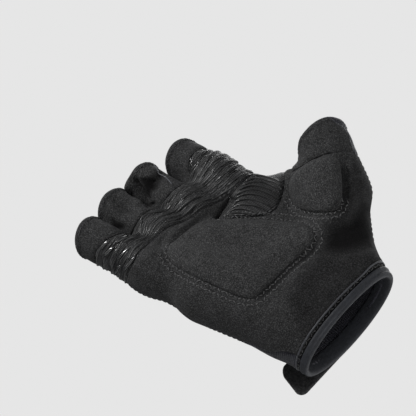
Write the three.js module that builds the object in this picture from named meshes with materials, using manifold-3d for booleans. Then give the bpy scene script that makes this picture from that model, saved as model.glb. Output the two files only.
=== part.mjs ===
import * as THREE from 'three';
import { mergeVertices } from 'three/addons/utils/BufferGeometryUtils.js';
import Module from 'manifold-3d';

// A right-hand short-finger cycling glove in the shape it takes when worn, in millimetres.
// The origin is the middle of the wrist opening, +Z runs toward the fingers, +X toward the
// thumb and -Y out of the palm.

// The hand inside the glove.
const PALM_WIDTH = 84;        // across the four knuckles
const PALM_LENGTH = 112;      // wrist opening to the webs of the fingers
const HAND_DEPTH = 28;        // palm to back
const FINGER_WIDTH = 15.8;    // inside width of a finger stall
const FINGER_DEPTH = 20.4;    // inside depth of a finger stall
const THUMB_WIDTH = 19;       // inside width of the thumb stall
const THUMB_DEPTH = 20;       // inside depth of the thumb stall

// The glove.
const WALL = 1.8;             // cloth with its backing
const GAP = 0.3;              // between pieces that are sewn to each other
const HEM_RISE = 0.34;        // how far a hem leans forward on the palm side, per mm of depth
const THUMB_HEM_RISE = 0.3;
const THUMB_HEM_TILT = 0.3;   // the thumb hem is longer on the outer side
const BINDING_HEIGHT = 4.4;   // folded tape round the wrist opening
const BINDING_EXTRA = 0.6;    // how far the tape stands over the cloth
const RIB_COUNT = 9;          // silicone ribs across the grip band
const RIB_HEIGHT = 0.9;
const WEB_RIB_COUNT = 8;
const PALM_PAD_HEIGHT = 3.0;
const THUMB_PAD_HEIGHT = 2.4;
const PAD_EDGE = 0.7;         // thickness of a pad at its sewn edge
const TAB_LENGTH = 56;        // closure strap across the back of the wrist
const TAB_WIDTH = 17.5;
const TAB_THICKNESS = 2.2;
const TAB_CORNER = 5;
const TAB_RISE = 1.1;         // lower edge of the strap above the wrist opening
const TAB_LIFT = 0.06;        // where it leaves the back, as a share of the palm width
const TAB_FREE = 28;          // length of the loose end that stands off the back
const TAB_SLANT = 0.3;        // how far the loose end leans, per mm of its width
const TAB_STAND = 21;         // distance of the loose end behind the middle of the wrist

// Sampling of the curved surfaces.
const CELL = 6;
const STALL_CELL = 4.6;
const CORE_BLEND = 4.0;
const STALL_BLEND = 2.2;
const FAR = 300;
const SHORTEST_EDGE = 0.12;
const SPECK = 0.5;               // the most volume that joining edges may pinch off

// Shares of the palm width, the hand depth and the palm length.
const place = ([x, y, z]) => new THREE.Vector3(x * PALM_WIDTH, y * HAND_DEPTH, z * PALM_LENGTH);

// from and to: x, y, z shares. size: half width and half depth at each end as shares of the
// palm width and the hand depth. face: the way the palm side looks.
const PALM_SIDE = [0, -1, 0];
const THUMB_SIDE = [-0.3, -0.95, 0];
const CORE_TABLE = [
  { name: 'wrist', from: [0.000, 0.000, -0.161], to: [0.012, 0.000, 0.179],
    size: [0.348, 0.614, 0.348, 0.614], face: PALM_SIDE },
  { name: 'index_meta', from: [0.143, 0.071, 0.250], to: [0.274, 0.161, 0.857],
    size: [0.133, 0.471, 0.127, 0.454], face: PALM_SIDE },
  { name: 'middle_meta', from: [0.048, 0.107, 0.250], to: [0.030, 0.179, 0.866],
    size: [0.133, 0.471, 0.115, 0.436], face: PALM_SIDE },
  { name: 'ring_meta', from: [-0.071, 0.071, 0.250], to: [-0.202, 0.107, 0.848],
    size: [0.133, 0.471, 0.115, 0.436], face: PALM_SIDE },
  { name: 'little_meta', from: [-0.167, 0.000, 0.250], to: [-0.417, -0.071, 0.804],
    size: [0.133, 0.471, 0.104, 0.400], face: PALM_SIDE },
  { name: 'hypothenar', from: [-0.238, -0.179, 0.214], to: [-0.375, -0.214, 0.536],
    size: [0.133, 0.471, 0.127, 0.436], face: PALM_SIDE },
  { name: 'thenar', from: [0.226, -0.286, 0.188], to: [0.548, -0.393, 0.455],
    size: [0.181, 0.471, 0.157, 0.471], face: THUMB_SIDE },
  { name: 'thumb_root', from: [0.571, -0.339, 0.411], to: [0.726, -0.536, 0.571],
    size: [0.145, 0.436, 0.119, 0.375], face: THUMB_SIDE },
  { name: 'thumb_web', from: [0.310, 0.000, 0.741], to: [0.560, -0.286, 0.527],
    size: [0.071, 0.214, 0.060, 0.214], face: PALM_SIDE },
];

// The same for the stalls. size: half width and half depth at each end as shares of the
// inside width and depth. end: where the hem crosses the axis of the stall.
const STALL_TABLE = [
  { name: 'index_stall', from: [0.262, 0.143, 0.821], to: [0.298, 0.286, 1.250],
    size: [0.500, 0.510, 0.500, 0.490], face: PALM_SIDE, end: 0.674 },
  { name: 'middle_stall', from: [0.030, 0.179, 0.839], to: [0.042, 0.357, 1.295],
    size: [0.500, 0.510, 0.500, 0.490], face: PALM_SIDE, end: 0.703 },
  { name: 'ring_stall', from: [-0.202, 0.107, 0.821], to: [-0.226, 0.286, 1.295],
    size: [0.500, 0.500, 0.494, 0.471], face: PALM_SIDE, end: 0.725 },
  { name: 'little_stall', from: [-0.429, -0.071, 0.786], to: [-0.482, 0.054, 1.250],
    size: [0.494, 0.466, 0.468, 0.431], face: PALM_SIDE, end: 0.745 },
];
const THUMB_ROW = {
  name: 'thumb_stall',
  from: [0.674, -0.464, 0.518],
  to: [0.988, -0.786, 0.839],
  size: [0.500, 0.500, 0.453, 0.460],
  face: THUMB_SIDE,
  end: 0.314,
};

// Long dents in the cloth. from and to in shares, width and depth in shares of the hand depth.
const FOLD_TABLE = [
  { name: 'thenar crease', from: [0.393, -0.536, 0.571], to: [0.190, -0.571, 0.214], width: 0.179, depth: 0.057 },
  { name: 'under the band', from: [0.167, -0.429, 0.750], to: [-0.405, -0.536, 0.839], width: 0.143, depth: 0.032 },
  { name: 'thumb outer side', from: [0.690, -0.964, 0.446], to: [0.524, -0.857, 0.304], width: 0.143, depth: 0.032 },
];

function makeBone(row, width, depth) {
  const start = place(row.from);
  const axis = place(row.to).sub(start);
  const length = axis.length();
  axis.normalize();
  const side = new THREE.Vector3().crossVectors(axis, new THREE.Vector3(...row.face)).normalize();
  const out = new THREE.Vector3().crossVectors(side, axis);
  const [wide0, deep0, wide1, deep1] = row.size;
  return {
    name: row.name,
    start,
    axis,
    length,
    side,
    out,
    wide: [wide0 * width, wide1 * width],
    deep: [deep0 * depth, deep1 * depth],
  };
}

// Distance from the point to an oval capsule, nearly true close to its surface.
function boneDistance(bone, p) {
  const qx = p.x - bone.start.x;
  const qy = p.y - bone.start.y;
  const qz = p.z - bone.start.z;
  const along = qx * bone.axis.x + qy * bone.axis.y + qz * bone.axis.z;
  const clamped = Math.min(Math.max(along, 0), bone.length);
  const share = clamped / bone.length;
  const a = bone.wide[0] + (bone.wide[1] - bone.wide[0]) * share;
  const b = bone.deep[0] + (bone.deep[1] - bone.deep[0]) * share;
  const c = (a + b) / 2;
  const u = qx * bone.side.x + qy * bone.side.y + qz * bone.side.z;
  const w = qx * bone.out.x + qy * bone.out.y + qz * bone.out.z;
  const e = along - clamped;
  const k1 = Math.hypot(u / a, w / b, e / c);
  const k2 = Math.hypot(u / (a * a), w / (b * b), e / (c * c));
  return (k1 * (k1 - 1)) / Math.max(k2, 1e-6);
}

function blend(distances, softness) {
  const least = Math.min(...distances);
  let sum = 0;
  for (const d of distances) sum += Math.exp((least - d) / softness);
  return least - softness * Math.log(sum);
}

const coreBones = CORE_TABLE.map((row) => makeBone(row, PALM_WIDTH, HAND_DEPTH));
const fingerBones = STALL_TABLE.map((row) => makeBone(row, FINGER_WIDTH, FINGER_DEPTH));
const thumbBone = makeBone(THUMB_ROW, THUMB_WIDTH, THUMB_DEPTH);

const folds = FOLD_TABLE.map((row) => ({
  line: new THREE.Line3(place(row.from), place(row.to)),
  width: row.width * HAND_DEPTH,
  depth: row.depth * HAND_DEPTH,
}));
const nearest = new THREE.Vector3();

function foldDepth(p) {
  let total = 0;
  for (const fold of folds) {
    fold.line.closestPointToPoint(p, true, nearest);
    const far = nearest.distanceToSquared(p) / (fold.width * fold.width);
    if (far < 9) total += fold.depth * Math.exp(-far);
  }
  return total;
}

// Distance to the hand with the given stalls: 0 on the inside of the cloth, WALL outside.
function handField(stalls) {
  return (p) => {
    const core = blend(coreBones.map((bone) => boneDistance(bone, p)), CORE_BLEND);
    const parts = [core, ...stalls.map((bone) => boneDistance(bone, p))];
    return blend(parts, STALL_BLEND) + foldDepth(p);
  };
}

const wholeField = handField([...fingerBones, thumbBone]);

function slope(field, p) {
  const h = 0.05;
  const q = p.clone();
  const g = new THREE.Vector3();
  for (const key of ['x', 'y', 'z']) {
    q[key] = p[key] + h;
    const high = field(q);
    q[key] = p[key] - h;
    g[key] = (high - field(q)) / (2 * h);
    q[key] = p[key];
  }
  return g;
}

// Moves a point to the place where the field has the given value.
function toLevel(field, point, level, steps = 4) {
  const p = point.clone();
  for (let i = 0; i < steps; i += 1) {
    const g = slope(field, p);
    p.addScaledVector(g, (level - field(p)) / Math.max(g.lengthSq(), 0.05));
  }
  return p;
}

// A closed surface where the field is zero, one vertex per crossed cell.
function polygonise(field, low, high, cell) {
  const n = ['x', 'y', 'z'].map((key) => Math.ceil((high[key] - low[key]) / cell) + 1);
  const [nx, ny, nz] = n;
  const at = (i, j, k) => (i * ny + j) * nz + k;
  const values = new Float64Array(nx * ny * nz);
  const p = new THREE.Vector3();
  for (let i = 0; i < nx; i += 1) {
    for (let j = 0; j < ny; j += 1) {
      for (let k = 0; k < nz; k += 1) {
        p.set(low.x + i * cell, low.y + j * cell, low.z + k * cell);
        values[at(i, j, k)] = field(p);
      }
    }
  }
  const corners = [];
  for (let c = 0; c < 8; c += 1) corners.push([c & 1, (c >> 1) & 1, (c >> 2) & 1]);
  const index = new Map();
  const points = [];
  for (let i = 0; i < nx - 1; i += 1) {
    for (let j = 0; j < ny - 1; j += 1) {
      for (let k = 0; k < nz - 1; k += 1) {
        const sum = new THREE.Vector3();
        let count = 0;
        for (const a of corners) {
          for (let axis = 0; axis < 3; axis += 1) {
            if (a[axis]) continue;
            const b = [...a];
            b[axis] = 1;
            const fa = values[at(i + a[0], j + a[1], k + a[2])];
            const fb = values[at(i + b[0], j + b[1], k + b[2])];
            if ((fa < 0) === (fb < 0)) continue;
            const t = fa / (fa - fb);
            sum.x += i + a[0] + t * (b[0] - a[0]);
            sum.y += j + a[1] + t * (b[1] - a[1]);
            sum.z += k + a[2] + t * (b[2] - a[2]);
            count += 1;
          }
        }
        if (!count) continue;
        index.set(at(i, j, k), points.length);
        const start = sum.multiplyScalar(cell / count).add(low);
        points.push(toLevel(field, start, 0, 3));
      }
    }
  }
  const triangles = [];
  const steps = [[0, 1, 2], [1, 2, 0], [2, 0, 1]];
  for (let i = 1; i < nx - 1; i += 1) {
    for (let j = 1; j < ny - 1; j += 1) {
      for (let k = 1; k < nz - 1; k += 1) {
        const inside = values[at(i, j, k)] < 0;
        for (const [axis, b, c] of steps) {
          const ahead = [i, j, k];
          ahead[axis] += 1;
          if (inside === (values[at(...ahead)] < 0)) continue;
          const around = [[1, 1], [0, 1], [0, 0], [1, 0]].map(([db, dc]) => {
            const cellAt = [i, j, k];
            cellAt[b] -= db;
            cellAt[c] -= dc;
            return index.get(at(...cellAt));
          });
          if (!inside) around.reverse();
          const [q0, q1, q2, q3] = around;
          const straight = points[q0].distanceToSquared(points[q2]);
          const other = points[q1].distanceToSquared(points[q3]);
          if (straight < other) triangles.push(q0, q1, q2, q0, q2, q3);
          else triangles.push(q1, q2, q3, q1, q3, q0);
        }
      }
    }
  }
  return makeGeometry(points, triangles);
}

function makeGeometry(points, triangles) {
  const geometry = new THREE.BufferGeometry();
  const flat = points.flatMap((p) => [p.x, p.y, p.z]);
  geometry.setAttribute('position', new THREE.Float32BufferAttribute(flat, 3));
  geometry.setIndex(triangles);
  return geometry;
}

const wasm = await Module();
wasm.setup();

function toSolid(source) {
  const plain = source.clone();
  plain.deleteAttribute('normal');
  plain.deleteAttribute('uv');
  const merged = mergeVertices(plain, 1e-4);
  return new wasm.Manifold(new wasm.Mesh({
    numProp: 3,
    vertProperties: new Float32Array(merged.attributes.position.array),
    triVerts: new Uint32Array(merged.index.array),
  }));
}

// The largest body of a solid: cutting leaves crumbs along the seams.
function largest(solid) {
  const bodies = solid.decompose();
  bodies.sort((a, b) => b.volume() - a.volume());
  return bodies[0];
}

// Everything on the side of the plane its normal points to.
function beyond(point, normal) {
  const box = new THREE.BoxGeometry(FAR, FAR, FAR);
  const up = new THREE.Vector3(0, 0, 1);
  const turn = new THREE.Quaternion().setFromUnitVectors(up, normal.clone().normalize());
  box.translate(0, 0, FAR / 2);
  box.applyQuaternion(turn);
  box.translate(point.x, point.y, point.z);
  return toSolid(box);
}

// Closes a sheet between two grids of points, outer and inner, grid[row][column].
function closeSheet(outer, inner) {
  const rows = outer.length;
  const columns = outer[0].length;
  const points = [...outer.flat(), ...inner.flat()];
  const top = (i, j) => i * columns + j;
  const under = (i, j) => rows * columns + i * columns + j;
  const triangles = [];
  const quad = (a, b, c, d) => triangles.push(a, b, c, a, c, d);
  for (let i = 0; i < rows - 1; i += 1) {
    for (let j = 0; j < columns - 1; j += 1) {
      quad(top(i, j), top(i, j + 1), top(i + 1, j + 1), top(i + 1, j));
      quad(under(i, j), under(i + 1, j), under(i + 1, j + 1), under(i, j + 1));
    }
  }
  for (let i = 0; i < rows - 1; i += 1) {
    quad(top(i, 0), top(i + 1, 0), under(i + 1, 0), under(i, 0));
    quad(top(i + 1, columns - 1), top(i, columns - 1), under(i, columns - 1),
      under(i + 1, columns - 1));
  }
  for (let j = 0; j < columns - 1; j += 1) {
    quad(top(0, j + 1), top(0, j), under(0, j), under(0, j + 1));
    quad(top(rows - 1, j), top(rows - 1, j + 1), under(rows - 1, j + 1), under(rows - 1, j));
  }
  let solid = toSolid(makeGeometry(points, triangles));
  if (solid.volume() < 0) {
    for (let t = 0; t < triangles.length; t += 3) {
      [triangles[t + 1], triangles[t + 2]] = [triangles[t + 2], triangles[t + 1]];
    }
    solid = toSolid(makeGeometry(points, triangles));
  }
  return solid;
}

// The seam between palm and back: rows of across, up and out shares it passes through.
const SIDE_SEAM = [
  [0.893, 0.616, -0.821],
  [0.798, 0.491, -0.750],
  [0.714, 0.375, -0.429],
  [0.571, 0.223, -0.214],
  [0.417, 0.071, -0.107],
  [0.405, 0.000, -0.071],
  [0.667, 0.688, -0.464],
  [0.571, 0.643, -0.321],
  [0.440, 0.750, -0.143],
  [0.405, 0.857, -0.071],
  [0.393, 0.946, 0.000],
  [0.286, 1.054, 0.071],
  [0.036, 1.054, 0.107],
  [-0.202, 1.054, 0.071],
  [-0.429, 1.054, 0.000],
  [-0.560, 0.964, 0.214],
  [-0.536, 0.804, 0.250],
  [-0.512, 0.536, 0.286],
  [-0.452, 0.357, 0.179],
  [-0.405, 0.223, 0.000],
  [-0.369, 0.071, -0.214],
  [-0.369, 0.000, -0.214],
  [0.000, 0.536, 0.000],
  [0.238, 0.446, 0.000],
];

function seamOut(x, z) {
  let sum = 0;
  let weight = 0;
  for (const [across, up, out] of SIDE_SEAM) {
    const far = Math.hypot(x - across * PALM_WIDTH, z - up * PALM_LENGTH);
    const share = 1 / (far ** 3 + 60);
    sum += share * out * HAND_DEPTH;
    weight += share;
  }
  return sum / weight;
}

function seamHalf(direction) {
  const columns = 13;
  const rows = 11;
  const near = [];
  const away = [];
  for (let i = 0; i <= rows; i += 1) {
    const z = -0.3 * PALM_LENGTH + (1.75 * PALM_LENGTH * i) / rows;
    const nearRow = [];
    const awayRow = [];
    for (let j = 0; j <= columns; j += 1) {
      const x = -0.95 * PALM_WIDTH + (2.2 * PALM_WIDTH * j) / columns;
      nearRow.push(new THREE.Vector3(x, seamOut(x, z) + (direction * GAP) / 2, z));
      awayRow.push(new THREE.Vector3(x, direction * 3 * HAND_DEPTH, z));
    }
    near.push(nearRow);
    away.push(awayRow);
  }
  return closeSheet(near, away);
}

// A share with its two ends moved to the given places.
function stretched(share, first, last) {
  if (share === 0) return first;
  return share === 1 ? last : share;
}

// A sheet laid on the hand between border curves, with its own thickness at each place.
function laidSheet(borders, columns, rows, reach, outerLevel, innerLevel) {
  const curves = borders.map((border) => new THREE.CatmullRomCurve3(border.map(place)));
  const outer = [];
  const inner = [];
  for (let i = 0; i <= rows; i += 1) {
    const v = stretched(i / rows, reach.low, reach.high);
    const outerRow = [];
    const innerRow = [];
    for (let j = 0; j <= columns; j += 1) {
      const u = stretched(j / columns, reach.left, reach.right);
      const inside = Math.min(Math.max(u, 0), 1);
      const across = curves.map((curve) => curve.getPoint(inside)
        .addScaledVector(curve.getTangent(inside), (u - inside) * curve.getLength()));
      const start = along(across, v);
      outerRow.push(toLevel(wholeField, start, outerLevel(u, v, i)));
      innerRow.push(toLevel(wholeField, start, innerLevel));
    }
    outer.push(outerRow);
    inner.push(innerRow);
  }
  return closeSheet(outer, inner);
}

// A point on the broken line through the given points, past its ends too.
function along(points, v) {
  const last = points.length - 1;
  const place0 = Math.min(Math.max(Math.floor(v * last), 0), last - 1);
  return points[place0].clone().lerp(points[place0 + 1], v * last - place0);
}

// Rows of across, out and up shares from the thumb side to the outer side.
const BAND_LOWER = [
  [0.429, 0.214, 0.732],
  [0.423, -0.107, 0.741],
  [0.336, -0.411, 0.756],
  [0.207, -0.421, 0.761],
  [0.046, -0.375, 0.798],
  [-0.099, -0.357, 0.826],
  [-0.254, -0.411, 0.857],
  [-0.406, -0.529, 0.853],
  [-0.512, -0.436, 0.846],
  [-0.565, -0.021, 0.853],
  [-0.536, 0.321, 0.857],
];
const BAND_UPPER = [
  [0.417, 0.286, 0.893],
  [0.411, 0.000, 0.902],
  [0.345, -0.304, 0.938],
  [0.226, -0.304, 0.955],
  [0.095, -0.250, 0.973],
  [-0.060, -0.250, 0.982],
  [-0.202, -0.304, 0.991],
  [-0.333, -0.321, 0.982],
  [-0.476, -0.446, 1.009],
  [-0.571, -0.107, 1.027],
  [-0.560, 0.250, 1.018],
];
// Rows from the palm to the thumb side, one border under the other up the palm and over the
// edge of the web.
const WEB_LOWER = [
  [0.054, -0.382, 0.719],
  [0.143, -0.429, 0.634],
  [0.214, -0.429, 0.580],
  [0.286, -0.429, 0.567],
];
const WEB_MIDDLE = [
  [0.327, -0.393, 0.746],
  [0.357, -0.393, 0.705],
  [0.405, -0.429, 0.661],
  [0.446, -0.500, 0.603],
];
const WEB_BACK = [
  [0.405, 0.143, 0.768],
  [0.452, 0.107, 0.714],
  [0.512, 0.036, 0.670],
  [0.583, -0.071, 0.625],
];
// Outlines of the pads, once round.
const PALM_PAD = [
  [0.048, -0.393, 0.705],
  [0.148, -0.421, 0.589],
  [0.244, -0.489, 0.455],
  [0.226, -0.714, 0.339],
  [0.104, -0.714, 0.308],
  [-0.088, -0.696, 0.317],
  [-0.286, -0.750, 0.330],
  [-0.339, -0.725, 0.402],
  [-0.375, -0.739, 0.545],
  [-0.381, -0.564, 0.696],
  [-0.310, -0.496, 0.759],
  [-0.143, -0.425, 0.768],
];
const THUMB_PAD = [
  [0.492, -0.636, 0.603],
  [0.552, -0.846, 0.571],
  [0.625, -1.007, 0.509],
  [0.601, -0.971, 0.415],
  [0.443, -0.879, 0.308],
  [0.369, -0.886, 0.326],
  [0.319, -0.607, 0.446],
  [0.369, -0.464, 0.536],
];

function ribbed(count) {
  return (u, v, row) => WALL + (row % 2 ? RIB_HEIGHT : 0) * (row < 2 * count ? 1 : 0);
}

function bandSheets() {
  const borders = [BAND_LOWER, BAND_UPPER];
  const width = place(BAND_LOWER[3]).distanceTo(place(BAND_UPPER[3]));
  const spare = (1.4 * GAP) / width;
  const whole = { low: 0, high: 1, left: 0, right: 1 };
  const room = { low: -spare, high: 1 + spare, left: -0.02, right: 1.02 };
  return {
    band: laidSheet(borders, 22, 2 * RIB_COUNT, whole, ribbed(RIB_COUNT), 0),
    room: laidSheet(borders, 22, 2 * RIB_COUNT, room, () => WALL + RIB_HEIGHT + 0.9, -1.3),
  };
}

// Room for a sheet that bends sharply: its space and the sheet itself moved a gap each way.
function withSteps(sheet, space) {
  const by = 1.2 * GAP;
  let room = space;
  for (const step of [[by, 0, 0], [-by, 0, 0], [0, 0, by], [0, 0, -by], [0, by, 0], [0, -by, 0]]) {
    room = room.add(sheet.translate(step));
  }
  return room;
}

function webSheets() {
  const borders = [WEB_LOWER, WEB_MIDDLE, WEB_BACK];
  const height = place(WEB_LOWER[1]).distanceTo(place(WEB_BACK[1]));
  const spare = (1.5 * GAP) / height;
  const length = place(WEB_LOWER[0]).distanceTo(place(WEB_LOWER[WEB_LOWER.length - 1]));
  const whole = { low: 0, high: 1, left: 0, right: 1 };
  const side = (1.5 * GAP) / length;
  const room = { low: -spare, high: 1 + spare, left: -side, right: 1 + side };
  return {
    web: laidSheet(borders, 8, 2 * WEB_RIB_COUNT, whole, ribbed(WEB_RIB_COUNT), 0),
    room: laidSheet(borders, 8, 2 * WEB_RIB_COUNT, room, () => WALL + RIB_HEIGHT + 1.5, -2),
  };
}

// A domed pad on the outside of the palm, thin at its sewn edge.
function makePad(outline, height) {
  const spots = 20;
  const curve = new THREE.CatmullRomCurve3(outline.map(place), true);
  const rim = curve.getSpacedPoints(spots).slice(0, spots);
  const centre = new THREE.Vector3();
  for (const spot of rim) centre.addScaledVector(spot, 1 / spots);
  const rings = [0.35, 0.62, 0.84, 1];
  const floor = WALL + 2 * GAP;
  const top = [toLevel(wholeField, centre, floor + height)];
  const under = [toLevel(wholeField, centre, floor)];
  for (const ring of rings) {
    const level = floor + PAD_EDGE + (height - PAD_EDGE) * (1 - ring ** 3);
    for (const spot of rim) {
      const start = centre.clone().lerp(spot, ring);
      top.push(toLevel(wholeField, start, level));
      under.push(toLevel(wholeField, start, floor));
    }
  }
  const points = [...top, ...under];
  const shift = top.length;
  const triangles = [];
  for (let j = 0; j < spots; j += 1) {
    const next = (j + 1) % spots;
    triangles.push(0, 1 + j, 1 + next);
    triangles.push(shift, shift + 1 + next, shift + 1 + j);
    for (let r = 0; r < rings.length - 1; r += 1) {
      const a = 1 + r * spots + j;
      const b = 1 + r * spots + next;
      triangles.push(a, a + spots, b + spots, a, b + spots, b);
      triangles.push(shift + a, shift + b + spots, shift + a + spots);
      triangles.push(shift + a, shift + b, shift + b + spots);
    }
    const a = 1 + (rings.length - 1) * spots + j;
    const b = 1 + (rings.length - 1) * spots + next;
    triangles.push(a, shift + a, shift + b, a, shift + b, b);
  }
  let solid = toSolid(makeGeometry(points, triangles));
  if (solid.volume() < 0) {
    for (let t = 0; t < triangles.length; t += 3) {
      [triangles[t + 1], triangles[t + 2]] = [triangles[t + 2], triangles[t + 1]];
    }
    solid = toSolid(makeGeometry(points, triangles));
  }
  return solid;
}

// Where a level line through (x, z) or round the wrist axis meets the field.
function search(field, pointAt, far, level) {
  let inside = 0;
  let outside = far;
  for (let i = 0; i < 40; i += 1) {
    const middle = (inside + outside) / 2;
    if (field(pointAt(middle)) < level) inside = middle;
    else outside = middle;
  }
  return pointAt(outside);
}

// The folded tape: rows of height share and thickness share round its section.
const BINDING_SECTION = [
  [1, 0],
  [1, 0.8],
  [0.8, 1],
  [0.25, 1],
  [0.03, 0.75],
  [0, 0.35],
  [0.12, 0],
];

function makeBinding() {
  const spots = 36;
  const thickness = WALL + BINDING_EXTRA;
  const section = BINDING_SECTION.length;
  const points = [];
  for (let j = 0; j < spots; j += 1) {
    const angle = (2 * Math.PI * j) / spots;
    for (const [rise, thick] of BINDING_SECTION) {
      const z = rise * BINDING_HEIGHT;
      const pointAt = (r) => new THREE.Vector3(r * Math.cos(angle), r * Math.sin(angle), z);
      points.push(search(wholeField, pointAt, PALM_WIDTH, thick * thickness));
    }
  }
  const triangles = [];
  for (let j = 0; j < spots; j += 1) {
    const next = ((j + 1) % spots) * section;
    const here = j * section;
    for (let k = 0; k < section; k += 1) {
      const other = (k + 1) % section;
      triangles.push(here + k, here + other, next + other);
      triangles.push(here + k, next + other, next + k);
    }
  }
  let solid = toSolid(makeGeometry(points, triangles));
  if (solid.volume() < 0) {
    for (let t = 0; t < triangles.length; t += 3) {
      [triangles[t + 1], triangles[t + 2]] = [triangles[t + 2], triangles[t + 1]];
    }
    solid = toSolid(makeGeometry(points, triangles));
  }
  return solid;
}

// The closure strap: it lies on the back of the wrist and its loose end stands off.
function makeTab() {
  const clear = WALL + BINDING_EXTRA + GAP + 0.2;
  const columns = 18;
  const rows = 3;
  const touch = (x, z) => {
    const pointAt = (y) => new THREE.Vector3(x, y, z);
    return search(wholeField, pointAt, 3 * HAND_DEPTH, clear).y;
  };
  const lift = -TAB_LIFT * PALM_WIDTH;
  const free = lift - TAB_FREE;
  const outer = [];
  const inner = [];
  for (let j = 0; j <= columns; j += 1) {
    const along = TAB_LENGTH * (0.5 - 0.5 * Math.cos((Math.PI * j) / columns));
    const loose = Math.max(TAB_FREE - along, 0) / TAB_FREE;
    const bite = Math.max(TAB_CORNER - Math.min(along, TAB_LENGTH - along), 0);
    const cut = TAB_CORNER - Math.sqrt(Math.max(TAB_CORNER ** 2 - bite ** 2, 0));
    const outerRow = [];
    const innerRow = [];
    for (let k = 0; k <= rows; k += 1) {
      const z = TAB_RISE + cut + ((TAB_WIDTH - 2 * cut) * k) / rows;
      const x = free + along + TAB_SLANT * (z - TAB_RISE) * loose;
      const leave = touch(Math.max(x, lift), z);
      const y = leave + (TAB_STAND - leave) * loose;
      outerRow.push(new THREE.Vector3(x, y + TAB_THICKNESS, z));
      innerRow.push(new THREE.Vector3(x, y, z));
    }
    outer.push(outerRow);
    inner.push(innerRow);
  }
  return closeSheet(outer, inner);
}

const hemAt = (row, bone, tilt, rise) => {
  const point = bone.start.clone().lerp(place(row.to), row.end);
  const normal = bone.axis.clone().addScaledVector(bone.out, -rise);
  normal.addScaledVector(bone.side, -tilt);
  return { point, normal: normal.normalize() };
};

// The hand's volume at a level of its field, cut off square at the sides of a box.
function bodyIn(box, field, level, cell) {
  const boxed = (p) => Math.max(
    field(p) - level,
    box.min.x - p.x,
    p.x - box.max.x,
    box.min.y - p.y,
    p.y - box.max.y,
    box.min.z - p.z,
    p.z - box.max.z,
  );
  const grid = box.clone().expandByScalar(2 * cell);
  return toSolid(polygonise(boxed, grid.min, grid.max, cell));
}

// The hollow stops short of the box, where the shell is cut off later.
function shellIn(box, field, cell) {
  const hollow = box.clone().expandByScalar(-2);
  return bodyIn(box, field, WALL, cell).subtract(bodyIn(hollow, field, 0, cell));
}

const STALL_LINE = 0.93;      // where the finger stalls begin, as a share of the palm length
const STALL_LEAN = -0.04;
const boxBetween = (low, high) => new THREE.Box3(place(low), place(high));

const core = shellIn(boxBetween([-0.75, -1.9, -0.1], [1.3, 1.2, 0.97]), wholeField, CELL);
const stallLine = new THREE.Vector3(0, 0, STALL_LINE * PALM_LENGTH);
const stallUp = new THREE.Vector3(STALL_LEAN, 0, 1).normalize();
const panelTop = stallLine.clone().addScaledVector(stallUp, -GAP / 2);
const stallFoot = stallLine.clone().addScaledVector(stallUp, GAP / 2);
const palmHalf = seamHalf(-1);
const backHalf = seamHalf(1);
const { band, room: bandRoom } = bandSheets();
const { web, room: webSpace } = webSheets();
const webRoom = withSteps(web, webSpace);
const stallRoom = withSteps(band, bandRoom);

// The thumb stall is everything past the seam across the thumb.
const THUMB_SEAM = 0.02;
function thumbBox(spare) {
  const depth = 6 * THUMB_DEPTH;
  const box = new THREE.BoxGeometry(depth, 1.9 * THUMB_WIDTH, 4 * THUMB_DEPTH);
  box.translate(0, 0, 2 * THUMB_DEPTH);
  const frame = new THREE.Matrix4().makeBasis(thumbBone.out, thumbBone.side, thumbBone.axis);
  const start = thumbBone.start.clone()
    .addScaledVector(thumbBone.axis, THUMB_SEAM * thumbBone.length + spare);
  frame.setPosition(start);
  box.applyMatrix4(frame);
  return toSolid(box);
}

const cuffTop = beyond(new THREE.Vector3(0, 0, BINDING_HEIGHT + GAP), new THREE.Vector3(0, 0, 1));
const panels = core.intersect(cuffTop).intersect(beyond(panelTop, stallUp.clone().negate()));
const thumbHem = hemAt(THUMB_ROW, thumbBone, THUMB_HEM_TILT, THUMB_HEM_RISE);
const thumbEnd = beyond(thumbHem.point, thumbHem.normal.clone().negate());
const thumbRoom = thumbBox(-GAP / 2);
const thumbPlace = thumbBox(GAP / 2);

const palmSide = panels.intersect(palmHalf).subtract(bandRoom).subtract(webRoom);
const palmPanel = largest(palmSide.subtract(thumbRoom));
const backPanel = largest(panels.intersect(backHalf).subtract(thumbRoom));
const thumbTube = core.intersect(thumbPlace).intersect(thumbEnd);
const thumbFront = largest(thumbTube.intersect(palmHalf).subtract(webRoom));
const thumbBack = largest(thumbTube.intersect(backHalf));
const gripBand = largest(band.intersect(palmHalf));
const webPanel = largest(web.intersect(palmHalf).subtract(bandRoom));

function makeStall(i) {
  const bone = fingerBones[i];
  const field = handField([bone]);
  const row = STALL_TABLE[i];
  const hem = hemAt(row, bone, 0, HEM_RISE);
  const box = boxBetween([0, -1.5, STALL_LINE - 0.07], [0, 1.5, 1.24]);
  box.min.x = bone.start.x - 1.1 * FINGER_WIDTH;
  box.max.x = bone.start.x + 1.1 * FINGER_WIDTH;
  let stall = shellIn(box, field, STALL_CELL);
  stall = stall.intersect(beyond(hem.point, hem.normal.clone().negate()));
  stall = stall.intersect(beyond(stallFoot, stallUp));
  for (const j of [i - 1, i + 1]) {
    const other = fingerBones[j];
    if (!other) continue;
    const middle = bone.start.clone().add(other.start).multiplyScalar(0.5);
    const lean = bone.axis.clone().add(other.axis).normalize();
    const away = new THREE.Vector3().subVectors(bone.start, other.start);
    away.addScaledVector(lean, -away.dot(lean)).normalize();
    stall = stall.intersect(beyond(middle.addScaledVector(away, GAP / 2), away));
  }
  return largest(stall.subtract(stallRoom));
}

const stalls = fingerBones.map((bone, i) => makeStall(i));

const COLOURS = {
  suede: 0x3b3b40,
  knit: 0x1c1d26,
  grip: 0x202023,
  tape: 0x1a1b22,
  strap: 0x0e0d11,
};
const group = new THREE.Group();
group.name = 'cycling_glove';

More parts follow.
